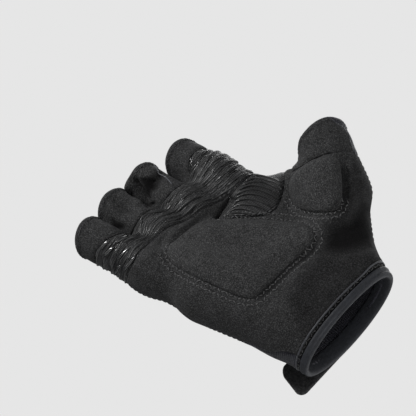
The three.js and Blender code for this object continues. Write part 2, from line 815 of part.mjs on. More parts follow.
// Cutting leaves edges shorter than a thread: their ends become one vertex.
function joinShortEdges(solid) {
  const mesh = solid.getMesh();
  const corners = mesh.vertProperties;
  const points = [];
  for (let i = 0; i < mesh.numVert; i += 1) {
    points.push(new THREE.Vector3().fromArray(corners, i * mesh.numProp));
  }
  const owner = points.map((p, i) => i);
  const find = (i) => (owner[i] === i ? i : find(owner[i]));
  const triangles = Array.from(mesh.triVerts);
  for (let t = 0; t < triangles.length; t += 3) {
    for (let k = 0; k < 3; k += 1) {
      const a = find(triangles[t + k]);
      const b = find(triangles[t + ((k + 1) % 3)]);
      if (a !== b && points[a].distanceTo(points[b]) < SHORTEST_EDGE) owner[b] = a;
    }
  }
  const kept = [];
  for (let t = 0; t < triangles.length; t += 3) {
    const [a, b, c] = [0, 1, 2].map((k) => find(triangles[t + k]));
    if (a !== b && b !== c && c !== a) kept.push(a, b, c);
  }
  return makeGeometry(points, kept);
}

function addPiece(name, solid, colour, roughness) {
  let joined = joinShortEdges(solid);
  const whole = toSolid(joined);
  if (whole.decompose().length !== 1) {
    const body = largest(whole);
    if (whole.volume() - body.volume() > SPECK) throw new Error(`${name} is not one body`);
    joined = joinShortEdges(body);
  }
  const geometry = mergeVertices(joined, 1e-4);
  geometry.computeVertexNormals();
  const material = new THREE.MeshStandardMaterial({ color: colour, roughness });
  const piece = new THREE.Mesh(geometry, material);
  piece.name = name;
  group.add(piece);
}

addPiece('palm_panel', palmPanel, COLOURS.suede, 0.95);
addPiece('back_panel', backPanel, COLOURS.knit, 0.9);
addPiece('grip_band', gripBand, COLOURS.grip, 0.6);
addPiece('web_panel', webPanel, COLOURS.grip, 0.6);
STALL_TABLE.forEach((row, i) => addPiece(row.name, stalls[i], COLOURS.suede, 0.95));
addPiece('thumb_stall', thumbFront, COLOURS.suede, 0.95);
addPiece('thumb_back', thumbBack, COLOURS.knit, 0.9);
addPiece('palm_pad', makePad(PALM_PAD, PALM_PAD_HEIGHT), COLOURS.suede, 0.95);
addPiece('thumb_pad', makePad(THUMB_PAD, THUMB_PAD_HEIGHT), COLOURS.suede, 0.95);
addPiece('cuff_binding', makeBinding(), COLOURS.tape, 0.8);
addPiece('wrist_tab', makeTab(), COLOURS.strap, 0.85);

export default group;
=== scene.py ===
"""Short-finger cycling glove in its worn shape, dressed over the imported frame."""

import math

import bpy
import numpy as np
from mathutils import Matrix, Vector
from mathutils.bvhtree import BVHTree
from mathutils.kdtree import KDTree


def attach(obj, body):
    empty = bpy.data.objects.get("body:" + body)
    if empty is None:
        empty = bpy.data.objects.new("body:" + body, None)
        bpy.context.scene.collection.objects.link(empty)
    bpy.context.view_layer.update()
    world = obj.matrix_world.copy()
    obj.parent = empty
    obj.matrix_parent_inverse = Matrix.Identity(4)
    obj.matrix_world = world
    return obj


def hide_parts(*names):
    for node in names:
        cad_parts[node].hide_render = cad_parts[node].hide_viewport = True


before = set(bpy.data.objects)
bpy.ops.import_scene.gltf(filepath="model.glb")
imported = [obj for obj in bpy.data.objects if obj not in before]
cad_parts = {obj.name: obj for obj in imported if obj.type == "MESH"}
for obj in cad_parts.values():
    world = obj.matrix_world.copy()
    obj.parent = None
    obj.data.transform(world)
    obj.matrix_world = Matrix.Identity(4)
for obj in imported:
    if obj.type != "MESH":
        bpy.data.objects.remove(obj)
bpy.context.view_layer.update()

# Lengths are millimetres up to the moment a mesh is made.
MM = 0.001
WALL = 1.8
THICK = 1.3
CORE_BLEND = 4.0
STALL_BLEND = 2.2
BINDING_HEIGHT = 4.4
STALL_LINE = 104.5
STALL_LEAN = -0.04
STALL_HEIGHT = 0.93 * 112
# The mesh's cells, the cells of a coarse block and the points worked out at once.
CELL = 0.9
BLOCK = 6
CHUNK = 150000
# Points along threads and strands stand this far apart.
SPACING = 0.8

# The photograph's frame and its scale.
FRAME_PIXELS = 416
PX_PER_MM = 2.146


def unit(v):
    """Vectors of length one."""
    return v / np.maximum(np.linalg.norm(v, axis=-1, keepdims=True), 1e-9)


# The camera: its axes in the glove's frame, what it looks at and from how far.
TARGET = np.array([1.1, -15.0, 86.2])
DISTANCE = 1500.0
RIGHT = np.array([0.649, 0.028, -0.760])
UP = np.array([0.647, -0.546, 0.532])
BACK = unit(np.cross(RIGHT, UP))
UP = unit(np.cross(BACK, RIGHT))
RIGHT = unit(RIGHT)
EYE = TARGET + DISTANCE * BACK

# Hand bones: from, to, half width and depth at each end, which way the palm side looks.
PALM_SIDE = (0, -1, 0)
THUMB_SIDE = (-0.3, -0.95, 0)
CORE = [
    ((0, 0, -18), (1, 0, 20), (29.2, 17.2), (29.2, 17.2), PALM_SIDE),
    ((12, 2, 28), (23, 4.5, 96), (11.2, 13.2), (10.7, 12.7), PALM_SIDE),
    ((4, 3, 28), (2.5, 5, 97), (11.2, 13.2), (9.7, 12.2), PALM_SIDE),
    ((-6, 2, 28), (-17, 3, 95), (11.2, 13.2), (9.7, 12.2), PALM_SIDE),
    ((-14, 0, 28), (-35, -2, 90), (11.2, 13.2), (8.7, 11.2), PALM_SIDE),
    ((-20, -5, 24), (-31.5, -6, 60), (11.2, 13.2), (10.7, 12.2), PALM_SIDE),
    ((19, -8, 21), (46, -11, 51), (15.2, 13.2), (13.2, 13.2), THUMB_SIDE),
    ((48, -9.5, 46), (61, -15, 64), (12.2, 12.2), (10, 10.5), THUMB_SIDE),
    ((26, 0, 83), (47, -8, 59), (6, 6), (5, 6), PALM_SIDE),
]
STALLS = {
    "index": ((22, 4, 92), (25, 8, 140), (7.9, 10.4), (7.9, 10.0), PALM_SIDE),
    "middle": ((2.5, 5, 94), (3.5, 10, 145), (7.9, 10.4), (7.9, 10.0), PALM_SIDE),
    "ring": ((-17, 3, 92), (-19, 8, 145), (7.9, 10.2), (7.8, 9.6), PALM_SIDE),
    "little": ((-36, -2, 88), (-40.5, 1.5, 140), (7.8, 9.5), (7.4, 8.8), PALM_SIDE),
}
THUMB = ((56.6, -13, 58), (83, -22, 94), (9.5, 10), (8.6, 9.2), THUMB_SIDE)
# Where each hem crosses its stall's axis, its rise on the palm side and its tilt.
HEMS = {
    "index": ((22.8, 0, 125), 0.2, 0),
    "middle": ((3.2, 2, 130.5), 0.2, 0),
    "ring": ((-17.8, 1, 131), 0.2, 0),
    "little": ((-39.2, -3, 127), 0.2, 0),
    "thumb": ((64.8, -16, 71.1), 0.3, 0.3),
}
FOLDS_BROAD = [
    ((33, -15, 64), (16, -16, 24), 5.0, 1.6),
    ((14, -12, 84), (-34, -15, 94), 4.0, 0.9),
    ((58, -27, 50), (44, -24, 34), 4.0, 0.9),
]
# The side seam: across, up, out.
SIDE_SEAM = np.array([
    (76, 72, -31), (67, 55, -22), (60, 42, -12), (48, 25, -6), (35, 8, -3), (34, 0, -2),
    (56, 77, -13), (48, 72, -9), (37, 84, -4), (34, 96, -2), (33, 106, 0),
    (24, 118, 2), (3, 118, 3), (-17, 118, 2), (-36, 118, 0),
    (-47, 108, 6), (-45, 90, 7), (-43, 60, 8), (-38, 40, 5), (-34, 25, 0), (-31, 8, -6), (-31, 0, -6),
    (0, 60, 0), (20, 50, 0),
], float)


def bone_frame(bone):
    """A bone's start, axis and length, the way to its side and the way out of its palm side."""
    start, end, face = (np.array(bone[i], float) for i in (0, 1, 4))
    length = np.linalg.norm(end - start)
    axis = (end - start) / length
    side = unit(np.cross(axis, face))
    return start, axis, length, side, np.cross(side, axis)


def bone_distance(p, bone):
    """Distance to an oval capsule, nearly true close to its surface."""
    start, axis, length, side, out = bone_frame(bone)
    (wide0, deep0), (wide1, deep1) = bone[2], bone[3]
    q = p - start
    along = q @ axis
    clamped = np.clip(along, 0, length)
    share = clamped / length
    a = wide0 + (wide1 - wide0) * share
    b = deep0 + (deep1 - deep0) * share
    c = (a + b) / 2
    u, w, e = q @ side, q @ out, along - clamped
    k1 = np.sqrt((u / a) ** 2 + (w / b) ** 2 + (e / c) ** 2)
    k2 = np.sqrt((u / a**2) ** 2 + (w / b**2) ** 2 + (e / c**2) ** 2)
    return k1 * (k1 - 1) / np.maximum(k2, 1e-6)


def blend(distances, softness):
    """The least of several distances, with soft hollows between them."""
    stack = np.stack(distances)
    least = stack.min(0)
    return least - softness * np.log(np.exp((least - stack) / softness).sum(0))


def near_line(p, a, b):
    a, b = np.array(a, float), np.array(b, float)
    t = np.clip((p - a) @ (b - a) / ((b - a) @ (b - a)), 0, 1)
    return np.linalg.norm(p - a - t[:, None] * (b - a), axis=1)


def bell(x, width):
    return np.exp(-((x / width) ** 2))


NAMES = list(STALLS)


def hand_parts(p):
    """Distances to the body of the hand, to the thumb and to the four fingers."""
    core = blend([bone_distance(p, bone) for bone in CORE], CORE_BLEND)
    return core, bone_distance(p, THUMB), [bone_distance(p, bone) for bone in STALLS.values()]


def with_neighbours(p, fingers, at):
    """A finger's distance and its neighbours', which let go above the stall line."""
    let_go = 7 * np.clip((p[:, 2] - STALL_LINE) / 8, 0, 1)
    return [fingers[at]] + [fingers[i] + let_go for i in (at - 1, at + 1) if 0 <= i < len(fingers)]


def broad_folds(p):
    return sum(depth * bell(near_line(p, a, b), width) for a, b, width, depth in FOLDS_BROAD)


def hand_field(p, stall=None):
    """0 on the inside of the cloth and WALL outside. A stall's own field lets go of its neighbours."""
    core, thumb, fingers = hand_parts(p)
    if stall is None:
        parts = [core, *fingers, thumb]
    else:
        parts = [core, *with_neighbours(p, fingers, NAMES.index(stall))]
    return blend(parts, STALL_BLEND) + broad_folds(p)


def all_field(p):
    """The outside of the whole glove; the fingers part above the stall line."""
    core, thumb, fingers = hand_parts(p)
    fields = [blend([core, thumb, *with_neighbours(p, fingers, i)], STALL_BLEND) for i in range(len(fingers))]
    return np.minimum.reduce(fields) + broad_folds(p) - WALL


def stall_field(name):
    return lambda p: hand_field(p, name) - WALL


def in_chunks(field, p):
    return np.concatenate([field(p[i:i + CHUNK]) for i in range(0, len(p), CHUNK)])


def halves(quads):
    """Two triangles for each quad."""
    return np.concatenate([quads[:, [0, 1, 2]], quads[:, [0, 2, 3]]])


def surface_nets(field, low, high):
    """A mesh of the surface where the field is zero, as triangles facing out."""
    n = [int(math.ceil((h - l) / CELL)) + 1 for l, h in zip(low, high)]
    axes = [l + CELL * np.arange(m) for l, m in zip(low, n)]
    points = np.stack(np.meshgrid(*axes, indexing="ij"), -1)

    def spread(blocks):
        for axis in range(3):
            blocks = np.repeat(blocks, BLOCK, axis)
        return blocks[:n[0], :n[1], :n[2]]

    # A coarse pass first: only blocks near the surface are worked out in full.
    coarse = points[::BLOCK, ::BLOCK, ::BLOCK]
    rough = in_chunks(field, coarse.reshape(-1, 3)).reshape(coarse.shape[:3])
    values = np.where(spread(rough) < 0, -99.0, 99.0)
    close = np.abs(rough) < 2.6 * BLOCK * CELL
    grown = close.copy()
    for axis in range(3):
        for shift in (-1, 1):
            grown |= np.roll(close, shift, axis)
    mask = spread(grown)
    values[mask] = in_chunks(field, points[mask])
    inside = values < 0
    nc = [m - 1 for m in n]
    corner = np.zeros(nc, int)
    offsets = [(i, j, k) for i in (0, 1) for j in (0, 1) for k in (0, 1)]
    for i, j, k in offsets:
        corner += inside[i:nc[0] + i, j:nc[1] + j, k:nc[2] + k]
    live = (corner > 0) & (corner < 8)
    index = -np.ones(nc, int)
    index[live] = np.arange(live.sum())
    cells = np.argwhere(live)
    total = np.zeros((len(cells), 3))
    count = np.zeros(len(cells))
    for a in offsets:
        for axis in range(3):
            if a[axis]:
                continue
            b = list(a)
            b[axis] = 1
            ca, cb = cells + a, cells + b
            fa, fb = values[tuple(ca.T)], values[tuple(cb.T)]
            crossed = (fa < 0) != (fb < 0)
            share = np.where(crossed, fa / np.where(crossed, fa - fb, 1), 0)
            total += np.where(crossed[:, None], ca + share[:, None] * (cb - ca), 0)
            count += crossed
    verts = np.array(low) + CELL * total / count[:, None]
    quads = []
    for axis in range(3):
        first, second = [slice(None)] * 3, [slice(None)] * 3
        first[axis], second[axis] = slice(0, -1), slice(1, None)
        one, two = inside[tuple(first)], inside[tuple(second)]
        edges = np.argwhere(one != two)
        b, c = (axis + 1) % 3, (axis + 2) % 3
        good = (edges[:, b] > 0) & (edges[:, c] > 0) & (edges[:, b] < nc[b]) & (edges[:, c] < nc[c])
        edges = edges[good]
        turned = one[tuple(edges.T)]
        db, dc = np.zeros(3, int), np.zeros(3, int)
        db[b], dc[c] = 1, 1
        quad = np.stack([index[tuple((edges - db - dc).T)], index[tuple((edges - dc).T)],
                         index[tuple(edges.T)], index[tuple((edges - db).T)]], 1)
        quad[~turned] = quad[~turned][:, ::-1]
        quads.append(quad)
    return verts, halves(np.concatenate(quads))


def slope(field, p, h=0.05):
    g = np.zeros_like(p)
    for i in range(3):
        d = np.zeros(3)
        d[i] = h
        g[:, i] = (field(p + d) - field(p - d)) / (2 * h)
    return g


def settle(field, p, steps=3):
    for _ in range(steps):
        g = slope(field, p)
        p = p - field(p)[:, None] * g / np.maximum((g * g).sum(1), 0.05)[:, None]
    return p


def used_only(verts, faces):
    used, faces = np.unique(faces, return_inverse=True)
    return verts[used], faces.reshape(-1, 3)


def clip(verts, faces, s):
    """The part of a mesh where s is positive, cut straight through its triangles."""
    s = np.where(np.abs(s) < 1e-5, 1e-5, s)
    inside = s > 0
    count = inside[faces].sum(1)
    keep = faces[count == 3]
    mixed = faces[(count == 1) | (count == 2)]
    if len(mixed):
        flags = inside[mixed]
        one = flags.sum(1) == 1
        odd = np.where(one, flags.argmax(1), (~flags).argmax(1))
        rows = np.arange(len(mixed))
        a, b, c = (mixed[rows, (odd + j) % 3] for j in range(3))
        pairs = np.sort(np.concatenate([np.stack([a, b], 1), np.stack([a, c], 1)]), axis=1)
        edges, back = np.unique(pairs, axis=0, return_inverse=True)
        back = back.reshape(-1)
        sa, sb = s[edges[:, 0]], s[edges[:, 1]]
        t = (sa / (sa - sb))[:, None]
        fresh = verts[edges[:, 0]] + t * (verts[edges[:, 1]] - verts[edges[:, 0]])
        ab, ac = len(verts) + back[:len(mixed)], len(verts) + back[len(mixed):]
        verts = np.concatenate([verts, fresh])
        keep = np.concatenate([
            keep,
            np.stack([a, ab, ac], 1)[one],
            np.stack([ab, b, c], 1)[~one],
            np.stack([ab, c, ac], 1)[~one],
        ])
    return used_only(verts, keep)


def normals_of(verts, faces):
    a, b, c = (verts[faces[:, k]] for k in range(3))
    cross = np.cross(b - a, c - a)
    out = np.zeros_like(verts)
    for k in range(3):
        np.add.at(out, faces[:, k], cross)
    return unit(out)


def biggest(verts, faces):
    """Drops crumbs: keeps the largest connected part."""
    parent = np.arange(len(verts))
    while True:
        low = np.minimum.reduce([parent[faces[:, 0]], parent[faces[:, 1]], parent[faces[:, 2]]])
        fresh = parent.copy()
        for k in range(3):
            np.minimum.at(fresh, faces[:, k], low)
        fresh = fresh[fresh]
        if (fresh == parent).all():
            break
        parent = fresh
    label = parent[faces[:, 0]]
    names, counts = np.unique(label, return_counts=True)
    return used_only(verts, faces[label == names[counts.argmax()]])


def rim_edges(verts, faces):
    """The edges that only one triangle has."""
    edges = np.concatenate([faces[:, [0, 1]], faces[:, [1, 2]], faces[:, [2, 0]]])
    key = edges[:, 0].astype(np.int64) * len(verts) + edges[:, 1]
    twin = edges[:, 1].astype(np.int64) * len(verts) + edges[:, 0]
    return edges[~np.isin(key, twin)]


def thicken(verts, faces, thickness, normals):
    """Closes a sheet with an inner face and walls round its open edges."""
    n = len(verts)
    a, b = rim_edges(verts, faces).T
    walls = halves(np.stack([b, a, a + n, b + n], 1))
    solid = np.concatenate([verts, verts - normals * thickness])
    return solid, np.concatenate([faces, faces[:, ::-1] + n, walls])


def seen(p):
    """Where the camera sees a point, in millimetres across the plane it looks at."""
    q = p - EYE
    depth = -(q @ BACK)
    return np.stack([q @ RIGHT, q @ UP], 1) * (DISTANCE / depth)[:, None]


def draw(spots, stall=None):
    """The points of the cloth that the camera sees at the given spots; spots that miss it drop out."""
    way = unit(spots[:, :1] * RIGHT + spots[:, 1:] * UP - DISTANCE * BACK)
    far = np.full(len(spots), DISTANCE - 100.0)
    for _ in range(120):
        value = hand_field(EYE + far[:, None] * way, stall) - WALL
        far = far + np.clip(value * 0.75, -2, 30)
    points = EYE + far[:, None] * way
    return points[np.abs(hand_field(points, stall) - WALL) < 0.3]


def evenly(points, spacing):
    """A broken line as evenly spaced points."""
    along = lengths_along(points)
    at = np.linspace(0, along[-1], max(int(round(along[-1] / spacing)), 2) + 1)
    return points_at(at, along, points)


def lengths_along(points):
    step = np.linalg.norm(np.diff(points, axis=0), axis=1)
    return np.concatenate([[0], np.cumsum(step)])


def points_at(at, along, points):
    return np.stack([np.interp(at, along, column) for column in points.T], 1)


def smooth_line(points, spacing=SPACING, closed=False):
    """A soft curve through points, as evenly spaced points."""
    pts = np.array(points, float)
    if closed:
        ext = np.concatenate([pts[-1:], pts, pts[:2]])
    else:
        ext = np.concatenate([2 * pts[:1] - pts[1:2], pts, 2 * pts[-1:] - pts[-2:-1]])
    t = np.linspace(0, 1, 24, endpoint=False)[:, None]
    fine = [0.5 * (2 * p1 + (p2 - p0) * t + (2 * p0 - 5 * p1 + 4 * p2 - p3) * t**2
                   + (3 * p1 - p0 - 3 * p2 + p3) * t**3)
            for p0, p1, p2, p3 in zip(ext, ext[1:], ext[2:], ext[3:])]
    line = evenly(np.concatenate(fine + [pts[:1] if closed else pts[-1:]]), spacing)
    return line[:-1] if closed else line


def line_distance(spots, line, closed=False):
    """Distance to a broken line and how far along it, in the plane of view."""
    a = line if closed else line[:-1]
    b = np.roll(line, -1, axis=0) if closed else line[1:]
    best = np.full(len(spots), 1e9)
    share = np.zeros(len(spots))
    for i in range(len(a)):
        d = b[i] - a[i]
        t = np.clip((spots - a[i]) @ d / max(d @ d, 1e-9), 0, 1)
        far = np.linalg.norm(spots - a[i] - t[:, None] * d, axis=1)
        nearer = far < best
        best = np.where(nearer, far, best)
        share = np.where(nearer, (i + t) / len(a), share)
    return best, share


def inside_distance(spots, loop):
    """Distance to a closed outline, positive inside it."""
    far, _ = line_distance(spots, loop, closed=True)
    odd = np.zeros(len(spots), bool)
    for a, b in zip(loop, np.roll(loop, -1, axis=0)):
        crosses = (a[1] > spots[:, 1]) != (b[1] > spots[:, 1])
        rise = b[1] - a[1] if b[1] != a[1] else 1e-9
        at = a[0] + (spots[:, 1] - a[1]) / rise * (b[0] - a[0])
        odd ^= crosses & (spots[:, 0] < at)
    return np.where(odd, far, -far)


def side_seam(p):
    """Distance behind the side seam: negative on the palm side."""
    far = np.hypot(p[:, None, 0] - SIDE_SEAM[None, :, 0], p[:, None, 2] - SIDE_SEAM[None, :, 1])
    share = 1 / (far**3 + 60)
    return p[:, 1] - (share * SIDE_SEAM[None, :, 2]).sum(1) / share.sum(1)


# What the photograph shows, in pixels of its frame.

def px(points):
    """Pixels as millimetres across the plane of view."""
    x, y = np.array(points, float).T
    return np.stack([x - FRAME_PIXELS / 2, FRAME_PIXELS / 2 - y], 1) / PX_PER_MM


PALM_PAD = px([
    (167.4, 252.3), (171, 245), (178.3, 238.3), (185, 232), (193, 225.5), (203, 220.5), (215.3, 218.6),
    (242, 219.2), (267.6, 220), (290.5, 222), (306, 225), (314, 233), (312, 242), (299.4, 255.6),
    (286, 268), (273.9, 280), (263, 290), (256, 296), (248, 298), (234.4, 294.5), (216.5, 286.3),
    (191, 274.5), (173.2, 263.5),
])
THUMB_PAD = px([
    (289.5, 190.8), (291, 179), (300, 168), (311, 160.5), (322, 157.3), (335, 157.5), (341, 166),
    (342.5, 184), (341.5, 202.2), (337, 209.5), (325, 212), (310, 211.5), (298.5, 208), (292, 200.5),
])
WEB = px([
    (216.6, 217), (223.5, 205), (230.4, 194.5), (239.5, 184.9), (247.6, 177.3), (248, 168), (262, 160),
    (284, 166), (283.4, 180.8), (283.2, 188.9), (281.4, 199.2), (277.4, 207.2), (267.1, 214), (251, 215.6),
    (232.6, 216.8),
])
# Folds of the palm side: where they run, half width and height in mm. Below zero is a valley; valleys deeper
# than 0.8 mm are also darkened with painted shade.
FOLDS = [
    ([(233, 197), (224, 208), (214, 219)], 2.6, -2.2),
    ([(220, 201), (205, 214), (190, 226), (178, 235)], 2.2, -1.0),
    ([(134, 177), (138, 184), (144.5, 194.5), (150.5, 202)], 1.2, -2.6),
    ([(134, 184), (140.3, 193.5), (147.5, 204)], 0.9, -1.4),
    ([(146, 206.5), (156, 203.2)], 0.8, -1.3),
    ([(168, 252), (170, 239), (180, 230), (196, 219)], 1.7, 1.1),
    ([(161, 250), (164, 236), (174, 226), (188, 216)], 2.2, -0.7),
    ([(124, 200), (130, 208), (138, 213)], 2.4, -0.7),
    ([(130, 182), (135, 196), (141, 206)], 2.2, 1.2),
    ([(164, 170), (158, 178), (151, 191)], 2.3, -2.2),
    ([(300, 262), (316, 246), (326, 228)], 4.0, -1.0),
    ([(110, 196), (122, 208), (132, 214)], 1.6, -0.9),
    ([(342.8, 158), (344.5, 184), (343.4, 206)], 2.8, -1.0),
    ([(350, 172), (353, 200), (351, 214)], 3.4, 0.6),
    ([(347, 180), (362, 178.6)], 1.3, 0.5),
    ([(347, 184.5), (362, 184)], 1.6, -0.5),
    ([(300, 164), (310, 158), (322, 152.8)], 1.2, -0.7),
    ([(317, 297), (345, 281), (371, 267.5)], 3.2, 1.0),
    ([(303, 292), (330, 270), (352, 252)], 5.0, -1.0),
    ([(357, 255), (371, 245)], 2.4, -0.6),
    ([(116, 205), (124, 215)], 2.2, -0.9),
    ([(96, 222), (108, 228), (121, 224)], 2.6, 0.5),
]
# Places where the open mesh puffs up between its ribs: pixel, radius and height in mm.
PUFFS = [((201, 147), 5.0, 1.3), ((218, 153), 5.5, 3.2), ((229, 163), 3.6, 0.8), ((209, 151), 2.0, -0.7),
         ((126, 185), 3.6, 2.6), ((299, 157), 5.0, -1.3), ((268, 176), 6.0, -1.0), ((371, 190), 7.0, 0.6),
         ((372, 225), 7.0, 0.8)]

# The side of the palm pad towards the fingers is turned under: a line along it.
TURNED_UNDER = px([(166, 247), (217, 214)])

# The lower and upper border of the grip band, round the hand.
BAND_LOWER = np.array([
    (36, 6, 82), (35.5, -3, 83), (28.2, -11.5, 84.7), (17.4, -11.8, 85.2), (3.9, -10.5, 89.4),
    (-8.3, -10, 92.5), (-21.3, -11.5, 96), (-34.1, -14.8, 95.5), (-43, -12.2, 94.8), (-47.5, -0.6, 95.5),
    (-45, 9, 96),
], float)
BAND_UPPER = np.array([
    (35, 8, 104), (35, 0, 109), (30.5, -5.5, 114.5), (24, -6.5, 115.8), (18, -5, 113.5), (12.5, -3, 109),
    (6, -7.5, 109.5), (-3, -7.5, 110), (-10, -6.5, 110.5), (-18, -8.5, 111), (-28, -9, 110.5),
    (-40, -12.5, 113), (-48, -3, 115), (-47, 7, 114),
], float)
MIDDLE = np.array([-5.0, 5.0])
FLATTEN = 3.0


def turn(p):
    """The angle round the hand, squeezed so that it runs evenly across the palm."""
    return np.arctan2((p[:, 0] - MIDDLE[0]) / FLATTEN, -(p[:, 1] - MIDDLE[1]))


LOWER = smooth_line(BAND_LOWER)
UPPER = smooth_line(BAND_UPPER)
PALM_RIM = smooth_line(PALM_PAD, 1.0, closed=True)
THUMB_RIM = smooth_line(THUMB_PAD, 1.0, closed=True)


def height_of(line, p):
    """The height of a border line beside each point."""
    line = line[::3]
    _, share = line_distance(p[:, :2], line[:, :2])
    return np.interp(share * (len(line) - 1), np.arange(len(line)), line[:, 2])


def past_fold(spots):
    """Positive past the side of the palm pad that is turned under."""
    a, b = TURNED_UNDER
    return (spots[:, 1] - a[1]) * (b[0] - a[0]) - (spots[:, 0] - a[0]) * (b[1] - a[1])


# Where the panels are cut: each scalar is positive on its own piece.

def above_cuff(p):
    return p[:, 2] - BINDING_HEIGHT - 0.2


def stall_height(p):
    return (STALL_LEAN * p[:, 0] + p[:, 2] - STALL_HEIGHT) / math.hypot(1, STALL_LEAN)


def band_scalar(p):
    high = np.maximum(height_of(UPPER, p), STALL_HEIGHT - STALL_LEAN * p[:, 0] + 0.4)
    return np.minimum.reduce([p[:, 2] - height_of(LOWER, p), high - p[:, 2], -side_seam(p)])


def web_scalar(p):
    below_band = height_of(LOWER, p) - p[:, 2]
    return np.minimum.reduce([inside_distance(seen(p), WEB), -side_seam(p), below_band, 94 - p[:, 2]])


def thumb_scalar(p):
    start, axis, length, side, out = bone_frame(THUMB)
    q = p - start
    return np.minimum.reduce([q @ axis - 0.02 * length, 18.05 - np.abs(q @ side), 60 - np.abs(q @ out)])


def hem_scalar(p, name):
    """Distance below the hem of a stall."""
    point, rise, tilt = HEMS[name]
    start, axis, _, side, out = bone_frame(STALLS.get(name, THUMB))
    at = start + axis * ((np.array(point, float) - start) @ axis)
    return (at - p) @ unit(axis - rise * out - tilt * side)


# Soft unevenness from a seeded lattice of numbers.
LATTICE = np.random.RandomState(11).rand(32, 32, 32) * 2 - 1


def smooth_step(x):
    x = np.clip(x, 0, 1)
    return x * x * (3 - 2 * x)


def waver(p, size):
    q = p / size
    base = np.floor(q).astype(int)
    t = q - base
    t = smooth_step(t)
    total = 0
    for i in (0, 1):
        for j in (0, 1):
            for k in (0, 1):
                weight = (t[:, 0] if i else 1 - t[:, 0]) * (t[:, 1] if j else 1 - t[:, 1])
                weight = weight * (t[:, 2] if k else 1 - t[:, 2])
                total = total + weight * LATTICE[(base[:, 0] + i) % 32, (base[:, 1] + j) % 32,
                                                 (base[:, 2] + k) % 32]
    return total


FOLD_LINES = [(smooth_line(px(points), 1.5), width, height) for points, width, height in FOLDS]
PUFF_SPOTS = [(px([spot])[0], radius, height) for spot, radius, height in PUFFS]


def stroke(spots, line, width, fade=4, start=0.25):
    """1 along a line and 0 away from it, fading towards its ends."""
    far, share = line_distance(spots, line)
    return bell(far, width) * smooth_step(fade * np.minimum(share, 1 - share) + start)


def relief(p, n, soft=1.0):
    """How far the cloth stands off the plain hand shape."""
    spots = seen(p)
    total = soft * (0.16 * waver(p, 9) + 0.10 * waver(p + 50, 4))
    facing = smooth_step((n @ BACK + 0.15) / 0.4)
    for line, width, height in FOLD_LINES:
        total = total + facing * height * stroke(spots, line, width)
    nearly = smooth_step((n @ BACK + 0.6) / 0.5)
    for spot, radius, height in PUFF_SPOTS:
        total = total + nearly * height * bell(np.linalg.norm(spots - spot, axis=1), radius)
    return total


# Hollows of the palm side: their outline, depth in mm and how soft the edge is. They are sunk and also darkened
# with painted shade.
HOLLOWS = [
    (px([(322, 238), (327, 225), (345, 218), (352, 206), (358, 197), (395, 197), (395, 250), (372, 250),
         (352, 258), (334, 259), (318, 254)]), 5.0, 5.5),
    (px([(140, 179), (157, 176), (155, 187), (149.5, 200), (144, 192)]), 2.4, 1.5),
    (px([(111, 217), (126, 225), (125, 230), (113, 230)]), 1.2, 1.2),
    (px([(231, 196), (237, 199), (222, 217), (211, 217), (220, 206)]), 0.6, 1.4),
]
# Round the thumb's hollow, down to the cuff, the suede is darkened with painted shade.
PAINTED_SHADE_AREA = px([
    (303, 262), (322, 236), (346, 170), (352, 160), (395, 160), (395, 300), (352, 322), (300, 340), (286, 296),
])


# Beside the pads, on the side away from the light, the suede is darkened with painted shade: line, width in mm,
# share.
SHADES = [
    (smooth_line(px([(318, 229), (313, 246), (300.5, 259), (287, 271.5), (275, 283.5), (264, 293.5),
                     (252, 300)]), 1.5), 1.2, 0.8),
    (smooth_line(px([(342.5, 160), (345, 184), (344, 203), (337, 212)]), 1.5), 1.4, 0.7),
]


def hollow_share(spots, outline, soft):
    return smooth_step((inside_distance(spots, outline) + 0.75 * soft) / (2 * soft))


def palm_share(n):
    """1 on the palm side, fading out on the back of the hand."""
    return smooth_step((n @ BACK + 0.9) / 0.9)


def sink(p, n):
    """The hollows as a move away from the camera."""
    spots = seen(p)
    depth = sum(deep * hollow_share(spots, outline, soft) for outline, deep, soft in HOLLOWS)
    return -(palm_share(n) * depth)[:, None] * BACK


def painted_shade(p, n):
    """Painted shade, darkest in the hollows, beside the pads and in the fold valleys."""
    spots = seen(p)
    shares = [0.5 * hollow_share(spots, PAINTED_SHADE_AREA, 4.0)]
    shares += [hollow_share(spots, outline, soft) for outline, _, soft in HOLLOWS]
    shares += [share * stroke(spots, line, width, 6, 0) for line, width, share in SHADES]
    shares += [min(1.0, -height / 3) * stroke(spots, line, width)
               for line, width, height in FOLD_LINES if height < -0.8]
    return palm_share(n) * np.maximum.reduce(shares)


# Meshes

def add_mesh(name, verts, faces, material, uv=None, fresh=None):
    mesh = bpy.data.meshes.new(name)
    faces = np.asarray(faces)
    width = faces.shape[1]
    mesh.vertices.add(len(verts))
    mesh.vertices.foreach_set("co", (np.asarray(verts) * MM).astype(np.float32).ravel())
    mesh.loops.add(faces.size)
    mesh.loops.foreach_set("vertex_index", faces.astype(np.int32).ravel())
    mesh.polygons.add(len(faces))
    mesh.polygons.foreach_set("loop_start", np.arange(0, faces.size, width, dtype=np.int32))
    mesh.polygons.foreach_set("loop_total", np.full(len(faces), width, dtype=np.int32))
    mesh.polygons.foreach_set("use_smooth", np.ones(len(faces), dtype=bool))
    mesh.update(calc_edges=True)
    mesh.validate()
    if uv is not None:
        layer = mesh.uv_layers.new(name="lay")
        index = np.zeros(len(mesh.loops), dtype=np.int32)
        mesh.loops.foreach_get("vertex_index", index)
        layer.data.foreach_set("uv", np.asarray(uv, np.float32)[index].ravel())
    # The fresh attribute holds painted shade, which darkens the suede's colour.
    if fresh is not None:
        values = mesh.attributes.new("fresh", "FLOAT", "POINT")
        values.data.foreach_set("value", np.asarray(fresh, np.float32))
    obj = bpy.data.objects.new(name, mesh)
    bpy.context.collection.objects.link(obj)
    mesh.materials.append(material)
    return obj


def finish_piece(obj, slot, *nodes):
    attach(obj, "root")
    if nodes:
        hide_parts(*nodes)
    return obj


